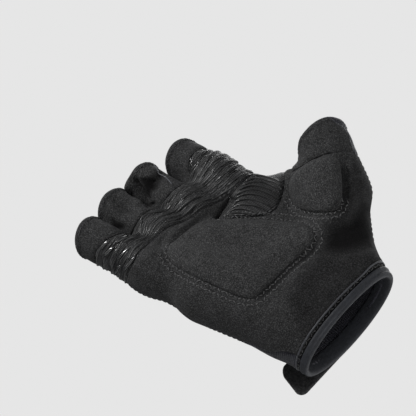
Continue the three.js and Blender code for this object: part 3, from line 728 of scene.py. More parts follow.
def rim_distance(verts, faces):
    """Distance of each vertex to the sheet's own open edge."""
    rim = rim_edges(verts, faces)
    spots = np.concatenate([verts[rim[:, 0]], verts[rim].mean(1)])
    tree = KDTree(len(spots))
    for i, spot in enumerate(spots):
        tree.insert(spot, i)
    tree.balance()
    return np.array([tree.find(v)[2] for v in verts])


# The flat charts of the weaves, in metres: round the hand, along its thumb side, and round the thumb.
HAND_TURN = 0.04
THUMB_TURN = 0.013
THUMB_FOOT, THUMB_WAY = bone_frame(THUMB)[:2]
THUMB_OUT = unit(np.cross(THUMB_WAY, (0.0, 0.0, 1.0)))
THUMB_UP = np.cross(THUMB_OUT, THUMB_WAY)


def chart(p, side):
    """Flat coordinates along the cloth. The side is -1 on the back of the hand and 1 on the palm."""
    around = np.where(p[:, 0] > 20, (p[:, 0] + side * p[:, 1]) * MM, turn(p) * HAND_TURN)
    hand = np.stack([around, p[:, 2] * MM], 1)
    off = p - THUMB_FOOT
    angle = np.arctan2(off @ THUMB_OUT, off @ THUMB_UP)
    thumb = np.stack([angle * THUMB_TURN, off @ THUMB_WAY * MM], 1)
    on_thumb = (off @ THUMB_WAY > -16) & (p[:, 0] > 40)
    return np.where(on_thumb[:, None], thumb, hand)


# The dressed outsides, which threads and strands are laid on later.
surfaces = []


def panel(name, piece, normals, material, slot, node, extra=None, edge=0.55, soft=1.0):
    """A cloth panel: dressed with relief, its edges turned in, and closed with an inner face."""
    verts, faces = biggest(*piece)
    n = normals(verts)
    lift = relief(verts, n, soft) - edge * (1 - smooth_step(rim_distance(verts, faces) / 1.3))
    if extra is not None:
        lift = lift + extra(verts, n)
    outer = verts + n * lift[:, None] + sink(verts, n)
    solid, closed = thicken(outer, faces, THICK, normals_of(outer, faces))
    # fresh is painted shade for the suede material.
    uv, fresh = chart(verts, -1 if material is KNIT else 1), painted_shade(verts, n)
    obj = add_mesh(name, solid, closed, material, np.concatenate([uv, uv]), np.concatenate([fresh, fresh]))
    finish_piece(obj, slot, node)
    surfaces.append((outer, faces))
    return verts, faces


def unit_slope(field):
    return lambda p: unit(slope(field, p, 0.15))


def contour(verts, faces, s, value):
    """Lines on a mesh where s has a value, as evenly spaced points, longest first."""
    s = s - value
    s = np.where(np.abs(s) < 1e-6, 1e-6, s)
    above = (s[faces] > 0).sum(1)
    links, spots = {}, {}
    for tri in faces[(above == 1) | (above == 2)]:
        ends = []
        for a, b in ((tri[0], tri[1]), (tri[1], tri[2]), (tri[2], tri[0])):
            if (s[a] > 0) != (s[b] > 0):
                ends.append((min(a, b), max(a, b)))
                spots[ends[-1]] = verts[a] + s[a] / (s[a] - s[b]) * (verts[b] - verts[a])
        for one, other in (ends, ends[::-1]):
            links.setdefault(one, []).append(other)
    lines = []
    left = set(links)
    for start in [key for key in links if len(links[key]) == 1] + list(links):
        chain, nearby = [], [start] if start in left else []
        while nearby:
            chain.append(nearby[0])
            left.discard(nearby[0])
            nearby = [key for key in links[chain[-1]] if key in left]
        if len(chain) > 4:
            lines.append(resample(np.array([spots[key] for key in chain]), chain[0] in links[chain[-1]]))
    return sorted(lines, key=len, reverse=True)


def resample(points, closed=False):
    """A softened line through points, evenly spaced."""
    if closed:
        points = np.concatenate([points, points[:1]])
    line = evenly(points, SPACING)
    for _ in range(3):
        line[1:-1] = (line[:-2] + 2 * line[1:-1] + line[2:]) / 4
    return line[:-1] if closed else line


def grid_quads(rows, columns, wrap_rows=False, wrap_columns=True):
    """Quads between the points of a grid, round its end where it wraps."""
    i = np.arange(rows if wrap_rows else rows - 1)[:, None]
    j = np.arange(columns if wrap_columns else columns - 1)[None, :]
    this, after = i * columns, (i + 1) % rows * columns
    beside = (j + 1) % columns
    return np.stack([this + j, this + beside, after + beside, after + j], -1).reshape(-1, 4)


def sweep(line, ups, width, height, sides=8, taper=True):
    """A rounded strand along a line; ups point off the cloth."""
    n = len(line)
    way = unit(np.gradient(line, axis=0))
    side = unit(np.cross(way, ups))
    size = np.ones(n)
    if taper:
        size[[0, -1]] = 0.35
        if n > 4:
            size[[1, -2]] = 0.8
    across = (side * (width * size / 2)[:, None])[:, None]
    high = (np.cross(side, way) * (height * size / 2)[:, None])[:, None]
    angle = (np.arange(sides) * 2 * math.pi / sides)[None, :, None]
    verts = (line[:, None] + np.cos(angle) * across + np.sin(angle) * high).reshape(-1, 3)
    k = np.arange(1, sides - 1)
    low_cap = np.stack([0 * k, k + 1, k], 1)
    high_cap = np.stack([0 * k, k, k + 1], 1) + (n - 1) * sides
    return verts, np.concatenate([halves(grid_quads(n, sides)), low_cap, high_cap])


def join(parts):
    verts, faces, count = [], [], 0
    for v, f in parts:
        verts.append(v)
        faces.append(f + count)
        count += len(v)
    return np.concatenate(verts), np.concatenate(faces)


def snap(points, reach=6.0):
    """The nearest points of the dressed cloth, the ways off it, and which were in reach."""
    spots, normals, good = [], [], []
    for point in points:
        spot, normal, _, _ = dressed_tree.find_nearest(Vector(point), reach)
        good.append(spot is not None)
        spots.append(spot if spot is not None else point)
        normals.append(normal if normal is not None else (0, 0, 1))
    return np.array(spots, float), np.array(normals, float), np.array(good)


def lay(points, level=0.0):
    """Points dropped on the dressed cloth, with the way off it."""
    spots, ups, _ = snap(points)
    for _ in range(4):
        ups[1:-1] = (ups[:-2] + 2 * ups[1:-1] + ups[2:]) / 4
    ups = unit(ups)
    return spots + ups * level, ups


def stitch_row(line, pitch, length, thread, lift, slant=0.0, phase=0.0):
    """Short raised stitches along a line of points, as a list of strands."""
    along = lengths_along(line)
    count = int(along[-1] / pitch)
    if count < 1:
        return []
    centres = (np.arange(count) + 0.5 + phase) * along[-1] / count
    centres = centres[centres < along[-1] - length / 2]
    a, middle, b = (points_at(centres + move, along, line) for move in (-length / 2, 0, length / 2))
    _, up, good = snap(middle)
    side = unit(np.cross(b - a, up))
    tilt = slant * np.where(np.arange(len(centres)) % 2, 1, -1)[:, None]
    a, up_a, good_a = snap(a - side * tilt)
    b, up_b, good_b = snap(b + side * tilt)
    middle, up_m, _ = snap((a + b) / 2)
    good &= good_a & good_b & (np.linalg.norm(b - a, axis=1) <= 2.5 * length + 2 * slant)
    near_a, near_b = (end * 0.88 + middle * 0.12 for end in (a, b))
    paths = np.stack([a - 0.25 * up_a, near_a + lift * up_a, middle + 1.25 * lift * up_m,
                      near_b + lift * up_b, b - 0.25 * up_b], 1)
    ups = np.stack([up_a, up_a, up_m, up_b, up_b], 1)
    return [sweep(paths[i], ups[i], thread, thread, 6, taper=False) for i in np.flatnonzero(good)]


def widened(loop, amount):
    """A closed outline moved outwards."""
    way = unit(np.roll(loop, -1, 0) - np.roll(loop, 1, 0))
    area = np.sum(loop[:, 0] * np.roll(loop[:, 1], -1) - np.roll(loop[:, 0], -1) * loop[:, 1])
    return loop + np.stack([way[:, 1], -way[:, 0]], 1) * math.copysign(amount, area)


# Materials

class Paint:
    """A procedural material, built node by node. A grey colour is given as one number."""

    def __init__(self, name):
        self.material = bpy.data.materials.new(name)
        self.material.use_nodes = True
        self.tree = self.material.node_tree
        self.tree.nodes.clear()
        output = self.tree.nodes.new("ShaderNodeOutputMaterial")
        self.shader = self.tree.nodes.new("ShaderNodeBsdfPrincipled")
        self.tree.links.new(self.shader.outputs["BSDF"], output.inputs["Surface"])
        self.where = self.node("TexCoord", "Object")
        self.normal = None

    def feed(self, sockets, values):
        for key, value in values.items():
            if hasattr(value, "links"):
                self.tree.links.new(value, sockets[key])
            else:
                sockets[key].default_value = value

    def node(self, kind, output, values={}, **settings):
        made = self.tree.nodes.new("ShaderNode" + kind)
        for key, value in settings.items():
            setattr(made, key, value)
        self.feed(made.inputs, values)
        return made.outputs[output]

    def noise(self, scale, detail=3.0, rough=0.55, distortion=0.0):
        return self.node("TexNoise", "Fac", {
            "Vector": self.where, "Scale": scale, "Detail": detail, "Roughness": rough,
            "Distortion": distortion})

    def ramp(self, value, *stops):
        colour = self.node("ValToRGB", "Color", {"Fac": value})
        for element, (place, shade) in zip(colour.node.color_ramp.elements, stops):
            element.position = place
            element.color = (*(shade if isinstance(shade, tuple) else (shade,) * 3), 1)
        return colour

    def mix(self, base, other, amount, mode="MULTIPLY"):
        return self.node("Mix", 2, {6: base, 7: other, 0: amount}, data_type="RGBA", blend_type=mode)

    def maths(self, operation, a, b=0.0):
        return self.node("Math", 0, {0: a, 1: b}, operation=operation)

    def wave(self, value, pitch, shift=0.0):
        return self.maths("SINE", self.maths("ADD", self.maths("MULTIPLY", value, 2 * math.pi / pitch), shift))

    def bump(self, height, strength, distance):
        values = {"Height": height, "Strength": strength, "Distance": distance}
        if self.normal is not None:
            values["Normal"] = self.normal
        self.normal = self.node("Bump", "Normal", values)
        self.feed(self.shader.inputs, {"Normal": self.normal})

    def finish(self, base, rough, **constants):
        """Colour, roughness and the constants, whose names have _ for a space."""
        constants = {key.replace("_", " "): value for key, value in constants.items()}
        self.feed(self.shader.inputs, {"Base Color": base, "Roughness": rough, **constants})
        return self.material


def suede(name, dark, light, speck):
    """Napped suede: specks and pits, darkened with painted shade where the fresh attribute is high."""
    paint = Paint(name)
    nap = paint.noise(420, 3, 0.6, 0.6)
    fine = paint.noise(2000, 2, 0.6)
    fresh = paint.node("Attribute", "Fac", attribute_name="fresh")
    base = paint.ramp(paint.noise(130, 4, 0.6), (0.32, dark), (0.68, light))
    base = paint.mix(base, paint.ramp(nap, (0.3, 0.72), (0.7, 1.22)), 0.75)
    base = paint.mix(base, paint.ramp(fine, (0.50, 0), (0.68, speck)), 1.0, "ADD")
    base = paint.mix(base, paint.ramp(fine, (0.30, 0.25), (0.48, 1)), 0.8)
    # Painted shade: where the fresh attribute is 1 the colour falls to about a tenth.
    base = paint.mix(base, paint.ramp(fresh, (0.0, 1), (1.0, (0.09, 0.085, 0.09))), 1.0)
    paint.bump(nap, 0.45, 0.0006)
    paint.bump(fine, 0.6, 0.0003)
    return paint.finish(base, paint.ramp(nap, (0.3, 0.86), (0.7, 0.98)), Specular_IOR_Level=0.12,
                        Sheen_Weight=0.025, Sheen_Roughness=0.42, Sheen_Tint=(0.75, 0.75, 0.78, 1))


def weave(name, dark, light, pitch_u, pitch_v, roughness, sheen, holes=1.0):
    """A knitted or woven cloth: two crossing rows of loops in the flat chart."""
    paint = Paint(name)
    lay_flat = paint.node("UVMap", "UV", uv_map="lay")
    u, v = (paint.node("SeparateXYZ", axis, {0: lay_flat}) for axis in "XY")
    fuzz = paint.noise(1700, 2)
    rows = paint.wave(paint.maths("ADD", u, paint.maths("MULTIPLY", paint.noise(240, 2), 0.0006)), pitch_u)
    columns = paint.wave(v, pitch_v, paint.maths("MULTIPLY", rows, 0.6))
    both = paint.maths("MULTIPLY", paint.maths("ADD", rows, 1.0), paint.maths("ADD", columns, 1.0))
    height = paint.maths("MULTIPLY", both, 0.25)
    base = paint.ramp(height, (0.05, dark), (0.55, light))
    base = paint.mix(base, paint.ramp(paint.noise(90, 3), (0.3, 0.75), (0.7, 1.2)), 0.8)
    if holes < 1:
        base = paint.mix(base, paint.ramp(height, (0.04, holes), (0.16, 1)), 1.0)
    fibre = tuple(0.6 * c for c in light)
    base = paint.mix(base, paint.ramp(fuzz, (0.5, 0), (0.75, fibre)), 0.7, "ADD")
    paint.bump(height, 0.7, 0.0005)
    paint.bump(fuzz, 0.35, 0.0003)
    return paint.finish(base, paint.ramp(fuzz, (0.3, roughness - 0.08), (0.7, roughness + 0.08)),
                        Specular_IOR_Level=0.35, Sheen_Weight=sheen, Sheen_Roughness=0.4)


def strand(name, dark, light, low, high, grain, strength, coat=0.0, specular=0.5, sheen=0.0, patchy=False):
    """Silicone, elastic tape, loop cloth and thread: a grained surface of one kind."""
    paint = Paint(name)
    coarse = paint.noise(grain, 3, 0.6, 0.4)
    fine = paint.noise(grain * 3.1, 2, 0.5)
    base = paint.ramp(coarse, (0.3, dark), (0.7, light))
    base = paint.mix(base, paint.ramp(paint.noise(75, 3), (0.35, 0.82), (0.7, 1.15)), 0.9)
    gloss = paint.noise(110, 2) if patchy else fine
    paint.bump(coarse, strength, 0.0005)
    paint.bump(fine, strength * 0.6, 0.0002)
    return paint.finish(base, paint.ramp(gloss, (0.36, low), (0.62, high)), Specular_IOR_Level=specular,
                        Coat_Weight=coat, Coat_Roughness=0.22, Sheen_Weight=sheen, Sheen_Roughness=0.45)


SUEDE = suede("suede_nap", (0.0163, 0.0163, 0.0165), (0.0255, 0.0255, 0.026), (0.046, 0.046, 0.0465))
PAD_SUEDE = suede("suede_nap_pad", (0.019, 0.019, 0.0192), (0.029, 0.029, 0.0295), (0.052, 0.052, 0.0525))
KNIT = weave("stretch_knit", (0.006, 0.006, 0.010), (0.020, 0.021, 0.030), 0.0011, 0.0009, 0.72, 0.12)
MESH = weave("open_mesh", (0.004, 0.004, 0.0045), (0.020, 0.020, 0.021), 0.0010, 0.0010, 0.62, 0.1, 0.25)
RUBBER = strand("silicone_rib", (0.012, 0.012, 0.0122), (0.022, 0.022, 0.0224), 0.20, 0.52, 520, 0.7,
                patchy=True)
GLOSS = strand("silicone_broad", (0.014, 0.014, 0.0142), (0.022, 0.022, 0.0224), 0.07, 0.20, 380, 0.12,
               coat=1.0)
TAPE = strand("elastic_binding", (0.011, 0.012, 0.015), (0.020, 0.022, 0.027), 0.55, 0.72, 900, 0.35,
              specular=0.3, sheen=0.02)
PIPE = strand("grey_piping", (0.030, 0.031, 0.036), (0.050, 0.052, 0.058), 0.5, 0.66, 900, 0.25,
              specular=0.35)
STRAP = strand("loop_cloth", (0.002, 0.002, 0.0025), (0.034, 0.034, 0.035), 0.8, 0.95, 800, 1.0,
               specular=0.25, sheen=0.15)
THREAD = strand("grey_thread", (0.042, 0.042, 0.0425), (0.086, 0.086, 0.087), 0.45, 0.6, 1200, 0.5)
DARK_THREAD = strand("black_thread", (0.010, 0.010, 0.011), (0.028, 0.028, 0.030), 0.45, 0.6, 1200, 0.5)


# The panels, all cut from one surface

def cut(piece, *scalars):
    verts, faces = piece
    for scalar in scalars:
        verts, faces = clip(verts, faces, scalar(verts))
    return verts, faces


def minus(scalar):
    return lambda p: -scalar(p)


# The cuff's heights: its stitched groove, its piping and the rise under it.
GROOVE_AT, PIPING_AT, RISE_AT = 5.1, 6.5, 7.6
# The soft folds along the band.
RIDGE_PITCH = 4.6


def cuff_groove(p, n):
    return 0.35 * bell(p[:, 2] - RISE_AT, 1.1) - 0.7 * bell(p[:, 2] - GROOVE_AT, 0.8)


def trough(p, n):
    """The palm dips round the sewn pads and at the cuff's piping."""
    spots = seen(p)
    facing = smooth_step((n @ BACK + 0.05) / 0.3) * (1 - 0.75 * smooth_step((past_fold(spots) + 60) / 80))
    total = cuff_groove(p, n)
    for rim, width in ((PALM_RIM, 2.4), (THUMB_RIM, 2.0)):
        far = -inside_distance(spots, rim) - 1.6
        total = total - 0.55 * facing * bell(np.maximum(far, -3.1), width)
    return total


def ridges(p, n):
    """Long soft folds along the band, closest together at the index finger."""
    across = p[:, 2] - height_of(LOWER, p)
    around = turn(p)
    bend = 0.16 * np.sin(around * 4.1 + 0.6) + 0.10 * np.sin(around * 9.3)
    strength = 0.34 + 0.16 * np.sin(around * 6.1 + 2.0)
    return strength * np.cos(2 * math.pi * (across / RIDGE_PITCH + bend)) + 0.12 * waver(p, 3.0)


def hem_relief(name, scallop=0.0):
    """The turned hem of a stall, with its seam."""
    def extra(p, n):
        far = hem_scalar(p, name)
        fold = 0.42 * smooth_step((3.1 - far) / 0.5) - 0.22 * bell(far - 3.4, 0.5)
        fold = fold - 0.45 * (1 - smooth_step(far / 0.7))
        return fold + scallop * np.cos(turn(p) * 40) * np.exp(-far / 2)
    return extra


def thumb_hem(p):
    return hem_scalar(p, "thumb")


whole_verts, whole_faces = surface_nets(all_field, (-57, -38, -1.2), (84, 30, 121))
whole_verts = settle(all_field, whole_verts)
whole_normals = unit_slope(all_field)
behind = side_seam(whole_verts)
front = clip(whole_verts, whole_faces, -behind)
back = clip(whole_verts, whole_faces, behind)

beside_palm = [minus(scalar) for scalar in (band_scalar, web_scalar, thumb_scalar, stall_height)]
palm = panel("glove_palm", cut(front, above_cuff, *beside_palm),
             whole_normals, SUEDE, "suede", "palm_panel", trough)
rear = panel("glove_back", cut(back, above_cuff, minus(thumb_scalar), minus(stall_height)),
             whole_normals, KNIT, "knit", "back_panel", cuff_groove)
panel("glove_band", cut(front, band_scalar), whole_normals, MESH, "grip_mesh", "grip_band", ridges, 0.8, 1.6)
panel("glove_web", cut(front, web_scalar, minus(band_scalar)), whole_normals, MESH, "grip_mesh", "web_panel",
      edge=0.7)
thumb = panel("stall_thumb", cut(front, thumb_scalar, thumb_hem, minus(web_scalar)),
              whole_normals, SUEDE, "suede", "thumb_stall", hem_relief("thumb", 0.12))
strip = panel("stall_thumb_back", cut(back, thumb_scalar, thumb_hem),
              whole_normals, KNIT, "knit", "thumb_back", hem_relief("thumb"))

# The stalls meet half way between their axes, and reach a little past that.
OVERLAP = 0.6
hems = []
for at, name in enumerate(NAMES):
    start, axis = bone_frame(STALLS[name])[:2]
    field = stall_field(name)
    verts, faces = surface_nets(field, (start[0] - 22, -26, 92), (start[0] + 22, 32, 150))
    piece = cut((settle(field, verts), faces), lambda p: hem_scalar(p, name), stall_height, minus(band_scalar))
    for beside in (at - 1, at + 1):
        if 0 <= beside < len(NAMES):
            other_start, other_axis = bone_frame(STALLS[NAMES[beside]])[:2]
            lean = unit(axis + other_axis)
            away = start - other_start
            away = unit(away - lean * (away @ lean))
            piece = cut(piece, lambda p: (p - (start + other_start) / 2) @ away + OVERLAP)
    made = panel("stall_" + name, piece, unit_slope(field), SUEDE, "suede", name + "_stall", hem_relief(name))
    hems.append((made, name))
hems += [(thumb, "thumb"), (strip, "thumb")]


# The sewn pads

# The cover is simulated at this many times its size, for this many frames.
GROWN = 20
FRAMES = 20


def swell(points, faces, held, cap):
    """The sewn cover blown up over its foam by a cloth simulation, its rim and underside held.

    No point moves by more than the cap.
    """
    grown = (points - points.mean(axis=0)) * GROWN
    cover = add_mesh("cover", grown, faces, PAD_SUEDE)
    group = cover.vertex_groups.new(name="held")
    group.add([int(i) for i in np.flatnonzero(held)], 1.0, "REPLACE")
    cloth = cover.modifiers.new("cloth", "CLOTH")
    for key, value in dict(
            quality=6, mass=0.05, tension_stiffness=12, compression_stiffness=6, shear_stiffness=4,
            bending_stiffness=0.05, vertex_group_mass="held", use_pressure=True,
            uniform_pressure_force=4).items():
        setattr(cloth.settings, key, value)
    cloth.settings.effector_weights.gravity = 0
    cloth.collision_settings.use_collision = False
    cloth.collision_settings.use_self_collision = False
    cloth.point_cache.frame_start = 1
    cloth.point_cache.frame_end = FRAMES
    scene = bpy.context.scene
    for step in range(1, FRAMES + 1):
        scene.frame_set(step)
    found = cover.evaluated_get(bpy.context.evaluated_depsgraph_get()).data
    spots = np.zeros(len(found.vertices) * 3, np.float32)
    found.vertices.foreach_get("co", spots)
    scene.frame_set(1)
    used = cover.data
    bpy.data.objects.remove(cover)
    bpy.data.meshes.remove(used)
    move = (spots.reshape(-1, 3) / MM - grown) / GROWN
    size = np.linalg.norm(move, axis=1)
    return points + move * np.minimum(1, cap / np.maximum(size, 1e-9))[:, None]


def smoothed(obj):
    subdivide = obj.modifiers.new("smooth", "SUBSURF")
    subdivide.levels = subdivide.render_levels = 1


def pad(name, rim, height, slope_width, node):
    """A domed pad inside a rim, sewn on the palm side."""
    facing = whole_normals(whole_verts) @ BACK
    inside = np.where((facing < 0.05) | (behind > 0), -5.0, inside_distance(seen(whole_verts), rim))
    verts, faces = biggest(*clip(whole_verts, whole_faces, inside))
    n = whole_normals(verts)
    far = np.maximum(inside_distance(seen(verts), rim), 0)
    share = np.clip(far / slope_width, 0, 1)
    dome = height * np.sqrt(1 - (1 - share) ** 2) ** 1.15 + 0.25 * smooth_step(far / 18)
    outer = verts + n * (relief(verts, n) + dome + 0.12)[:, None] + sink(verts, n)
    solid, closed = thicken(outer, faces, (dome + 0.06)[:, None], n)
    held = np.concatenate([far < 0.5, np.ones(len(verts), bool)])
    solid = swell(solid, closed, held, 1.2)
    # Painted shade for the pad's suede, as on the panels.
    fresh = painted_shade(verts, n)
    obj = add_mesh(name, solid, closed, PAD_SUEDE, None, np.concatenate([fresh, fresh]))
    smoothed(obj)
    finish_piece(obj, "suede", node)
    surfaces.append((solid[:len(verts)], faces))


pad("pad_palm", PALM_RIM, 3.0, 6.5, "palm_pad")
pad("pad_thumb", THUMB_RIM, 2.2, 4.5, "thumb_pad")

dressed_verts, dressed_faces = join(surfaces)
dressed_tree = BVHTree.FromPolygons([tuple(v) for v in dressed_verts], [tuple(f) for f in dressed_faces])


# Ribs of the grip band and the web

RIB_COUNT = 27
RIB_PITCH = 1.3

ribs = []
for i in range(RIB_COUNT):
    place = np.linspace(0, 1, len(LOWER))
    rise = 0.8 + RIB_PITCH * i + 0.34 * np.sin(place * 17 + i * 1.1) + 0.26 * np.sin(place * 37 + i * 2.3)
    points = settle(all_field, LOWER + rise[:, None] * (0, 0, 1), 4)
    # The ribs break off and start again, so they gather and part as they cross the palm.
    keep = (band_scalar(points) > 0.6) & (np.sin(place * (19 + i % 4) + i * 2.4) > -0.86)
    if i % 3 == 1:
        keep &= (place < 0.30 + 0.05 * (i % 4)) | (place > 0.55 - 0.03 * (i % 5))
    for run in np.split(np.arange(len(points)), np.where(np.diff(keep.astype(int)) != 0)[0] + 1):
        if keep[run[0]] and len(run) >= 8:
            spots, ups = lay(resample(points[run]))
            phase = np.linspace(0, 9, len(spots)) + i * 2.1
            width, height = (0.78, 0.85) if i % 3 else (0.5, 0.6)
            ribs.append(sweep(spots, ups, width * (1 + 0.28 * np.sin(phase * 1.7)),
                              height * (1 + 0.35 * np.sin(phase * 2.3 + 1))))
finish_piece(add_mesh("band_ribs", *join(ribs), RUBBER), "grip_mesh")

# At the little finger a few ribs are broad, flat and glossy.
BROAD_RIBS = [
    ((101, 249), (105, 244), (110, 239.5)), ((104, 256), (109, 251), (114, 246.5)),
    ((118, 259), (124, 252.5), (130, 247)), ((112, 276), (117, 270), (121, 265)),
    ((124, 271), (130, 263), (135, 256)), ((116, 243), (122, 239), (128, 235)),
]
ribs = []
for way in BROAD_RIBS:
    line = draw(smooth_line(px(way)))
    if len(line) > 5:
        ribs.append(sweep(*lay(line, 0.35), 1.15, 0.8, 10))
finish_piece(add_mesh("broad_ribs", *join(ribs), GLOSS), "grip_mesh")

# The web's ribs: start, middle and end, in an enlarged cutting of the photograph.
CUTTING = (150, 120)
CUTTING_SCALE = 8.711
WEB_RIBS = [
    ((846, 505), (1000, 478), (1150, 548)), ((830, 535), (990, 505), (1152, 590)),
    ((805, 570), (970, 535), (1150, 628)), ((780, 610), (950, 570), (1146, 668)),
    ((752, 655), (925, 605), (1134, 706)), ((722, 700), (900, 645), (1118, 742)),
    ((690, 748), (870, 690), (1085, 775)), ((655, 790), (830, 735), (1040, 804)),
    ((618, 826), (780, 775), (985, 826)), ((640, 842), (760, 806), (900, 836)),
]
ribs = []
for way in WEB_RIBS:
    first, via, last = np.array(way) / CUTTING_SCALE + CUTTING
    control = 2 * via - (first + last) / 2
    t = np.linspace(0, 1, 40)[:, None]
    line = resample(draw(px((1 - t) ** 2 * first + 2 * t * (1 - t) * control + t**2 * last)))
    line = line[web_scalar(line) > 0.4]
    if len(line) >= 6:
        spots, ups = lay(line)
        phase = np.linspace(0, 5, len(spots)) + len(ribs) * 1.7
        ribs.append(sweep(spots, ups, 0.86 + 0.18 * np.sin(phase * 1.9), 1.45 + 0.3 * np.sin(phase * 1.3)))
finish_piece(add_mesh("web_ribs", *join(ribs), RUBBER), "grip_mesh")


# Stitching and piping

# The thumb pad's stitches stop at this height of the photograph, where the stall begins.
THUMB_STITCH_TOP = px([(0, 197)])[0, 1]

threads = []
for rim, inner, outer in ((PALM_RIM, 1.0, 3.3), (THUMB_RIM, 0.9, 2.9)):
    for k, amount in enumerate((inner, outer)):
        loop = smooth_line(widened(rim, amount), closed=True)
        loop = np.concatenate([loop, loop[:1]])
        # No stitches show on the side of the palm pad that is turned under.
        turned = past_fold(loop)
        start = -int(np.argmax(turned))
        loop = np.roll(loop, start, axis=0)[np.roll(turned, start) < 12]
        if rim is THUMB_RIM:
            loop = loop[loop[:, 1] < THUMB_STITCH_TOP]
        threads += stitch_row(draw(loop), 2.1, 1.15, 0.46, 0.1, slant=0.35, phase=0.5 * k)
web_edge = draw(smooth_line(px([(276, 206.5), (267, 212.6), (251, 214.2), (222, 215.2)])))
threads += stitch_row(web_edge, 2.6, 1.7, 0.5, 0.14)
finish_piece(add_mesh("pad_stitches", *join(threads), THREAD), "suede")

seams, groove, piping = [], [], []
for (verts, faces), name in hems:
    for line in contour(verts, faces, hem_scalar(verts, name), 2.1)[:1]:
        seams += stitch_row(line, 2.6, 1.7, 0.3, 0.04)
for line in contour(*palm, side_seam(palm[0]), -1.5)[:3]:
    if len(line) > 15:
        seams += stitch_row(line, 2.6, 1.6, 0.34, 0.08)
for verts, faces in (palm, rear):
    for line in contour(verts, faces, verts[:, 2], GROOVE_AT)[:1]:
        groove += stitch_row(line, 2.2, 1.3, 0.5, 0.3, slant=0.35)
    for line in contour(verts, faces, verts[:, 2], PIPING_AT)[:1]:
        piping.append(sweep(*lay(line, 0.15), 0.9, 0.9, taper=False))
for line in contour(*thumb, side_seam(thumb[0]), -0.4)[:2]:
    if len(line) > 10:
        piping.append(sweep(*lay(line, 0.1), 0.8, 0.8))
middle_seam = draw(smooth_line(px([(153, 165), (163.5, 174), (172.5, 185)])), stall="middle")
piping.append(sweep(*lay(middle_seam, 0.05), 0.8, 0.7))
finish_piece(add_mesh("seam_stitches", *join(seams), DARK_THREAD), "suede")
finish_piece(add_mesh("cuff_stitches", *join(groove), THREAD), "tape")
finish_piece(add_mesh("edge_piping", *join(piping), PIPE), "tape")


# Cuff binding

def outermost(point, count, reach, level):
    """The farthest that point(r) can go and stay under a level of the cloth's field."""
    low, high = np.zeros(count), np.full(count, reach)
    for _ in range(28):
        half = (low + high) / 2
        inside = all_field(point(half)) + WALL < level
        low, high = np.where(inside, half, low), np.where(inside, high, half)
    return low


RING_POINTS = 220
PUCKERS = 44
around = np.arange(RING_POINTS) * 2 * math.pi / RING_POINTS


def wrist_ring(z, level):
    def point(r):
        return np.stack([r * np.sin(around), -r * np.cos(around), np.full(RING_POINTS, float(z))], 1)
    return point(outermost(point, RING_POINTS, 60.0, level))


# The folded tape's section: level off the inside of the cloth, and height.
SECTION = [
    (-0.35, 7.6), (-0.4, 5.0), (-0.2, 2.6), (0.1, 0.95), (0.5, 0.3), (1.15, 0.02), (1.8, 0.12), (2.3, 0.55),
    (2.5, 1.15), (2.32, 1.7), (2.36, 2.2), (2.6, 2.8), (2.62, 3.5), (2.35, 4.05), (1.8, 4.35), (1.0, 4.5),
    (0.45, 4.9), (0.3, 6.2), (0.2, 7.7), (-0.1, 7.95),
]
rings = np.array([wrist_ring(z, level) for level, z in SECTION])
rings[10:13] += unit(rings[11] - rings[2]) * 0.06 * np.sin(around * PUCKERS)[:, None]
ring_faces = grid_quads(len(SECTION), RING_POINTS, wrap_rows=True)[:, ::-1]
binding = add_mesh("cuff_tape", rings.reshape(-1, 3), ring_faces, TAPE)
finish_piece(binding, "tape", "cuff_binding")
smoothed(binding)


# Closure strap

TAB_LENGTH, TAB_WIDTH, TAB_THICKNESS, TAB_CORNER = 57.0, 17.5, 2.2, 5.0
TAB_RISE, TAB_LIFT, TAB_FREE, TAB_SLANT, TAB_STAND = 1.1, 0.06, 29.0, 0.3, 21.0
TAB_ROWS, TAB_COLUMNS = 91, 31
TAB_CLEAR = WALL + 0.6 + 0.3 + 0.2
HAND_WIDTH = 84.0


def eased(count):
    """0 to 1, closest together at both ends."""
    return 0.5 - 0.5 * np.cos(math.pi * np.arange(count) / (count - 1))


# Beyond lift_x the strap's loose end leaves the back of the hand.
lift_x = -TAB_LIFT * HAND_WIDTH
along = TAB_LENGTH * eased(TAB_ROWS)
loose = (np.maximum(TAB_FREE - along, 0) / TAB_FREE)[:, None]
bite = np.maximum(TAB_CORNER - np.minimum(along, TAB_LENGTH - along), 0)
inset = (TAB_CORNER - np.sqrt(np.maximum(TAB_CORNER**2 - bite**2, 0)))[:, None]
z = TAB_RISE + inset + (TAB_WIDTH - 2 * inset) * eased(TAB_COLUMNS)
x = lift_x - TAB_FREE + along[:, None] + TAB_SLANT * (z - TAB_RISE) * loose
flat_x, flat_z = np.maximum(x, lift_x).ravel(), z.ravel()
leave = outermost(lambda r: np.stack([flat_x, r, flat_z], 1), flat_x.size, HAND_WIDTH, TAB_CLEAR)
leave = leave.reshape(x.shape)
sheet = np.stack([x, leave + (TAB_STAND - leave) * loose, z], -1)
up = unit(np.cross(np.gradient(sheet, axis=1), np.gradient(sheet, axis=0)))
up = np.where(up[..., 1:2] < 0, -up, up)
edge = np.minimum(np.minimum(z - TAB_RISE - inset, TAB_RISE + TAB_WIDTH - inset - z),
                  np.minimum(along, TAB_LENGTH - along)[:, None])
edge = np.maximum(edge, 0)
swelling = 0.12 + (TAB_THICKNESS / 2 - 0.12) * np.sqrt(1 - (1 - np.clip(edge / 0.9, 0, 1)) ** 2)
sewn_border = -0.22 * bell(edge - 2.2, 0.35)
middle = sheet + up * TAB_THICKNESS / 2
outside = middle + up * (swelling + sewn_border)[..., None]
inside = middle - up * swelling[..., None]
top = grid_quads(TAB_ROWS, TAB_COLUMNS, wrap_columns=False)
shift = TAB_ROWS * TAB_COLUMNS
grid = np.arange(shift).reshape(TAB_ROWS, TAB_COLUMNS)
loop = np.concatenate([grid[:, 0], grid[-1, 1:], grid[-2::-1, -1], grid[0, -2:0:-1]])
after = np.roll(loop, -1)
walls = np.stack([after, loop, loop + shift, after + shift], 1)
strap_verts = np.concatenate([outside.reshape(-1, 3), inside.reshape(-1, 3)])
strap_faces = np.concatenate([top, top[:, ::-1] + shift, walls])
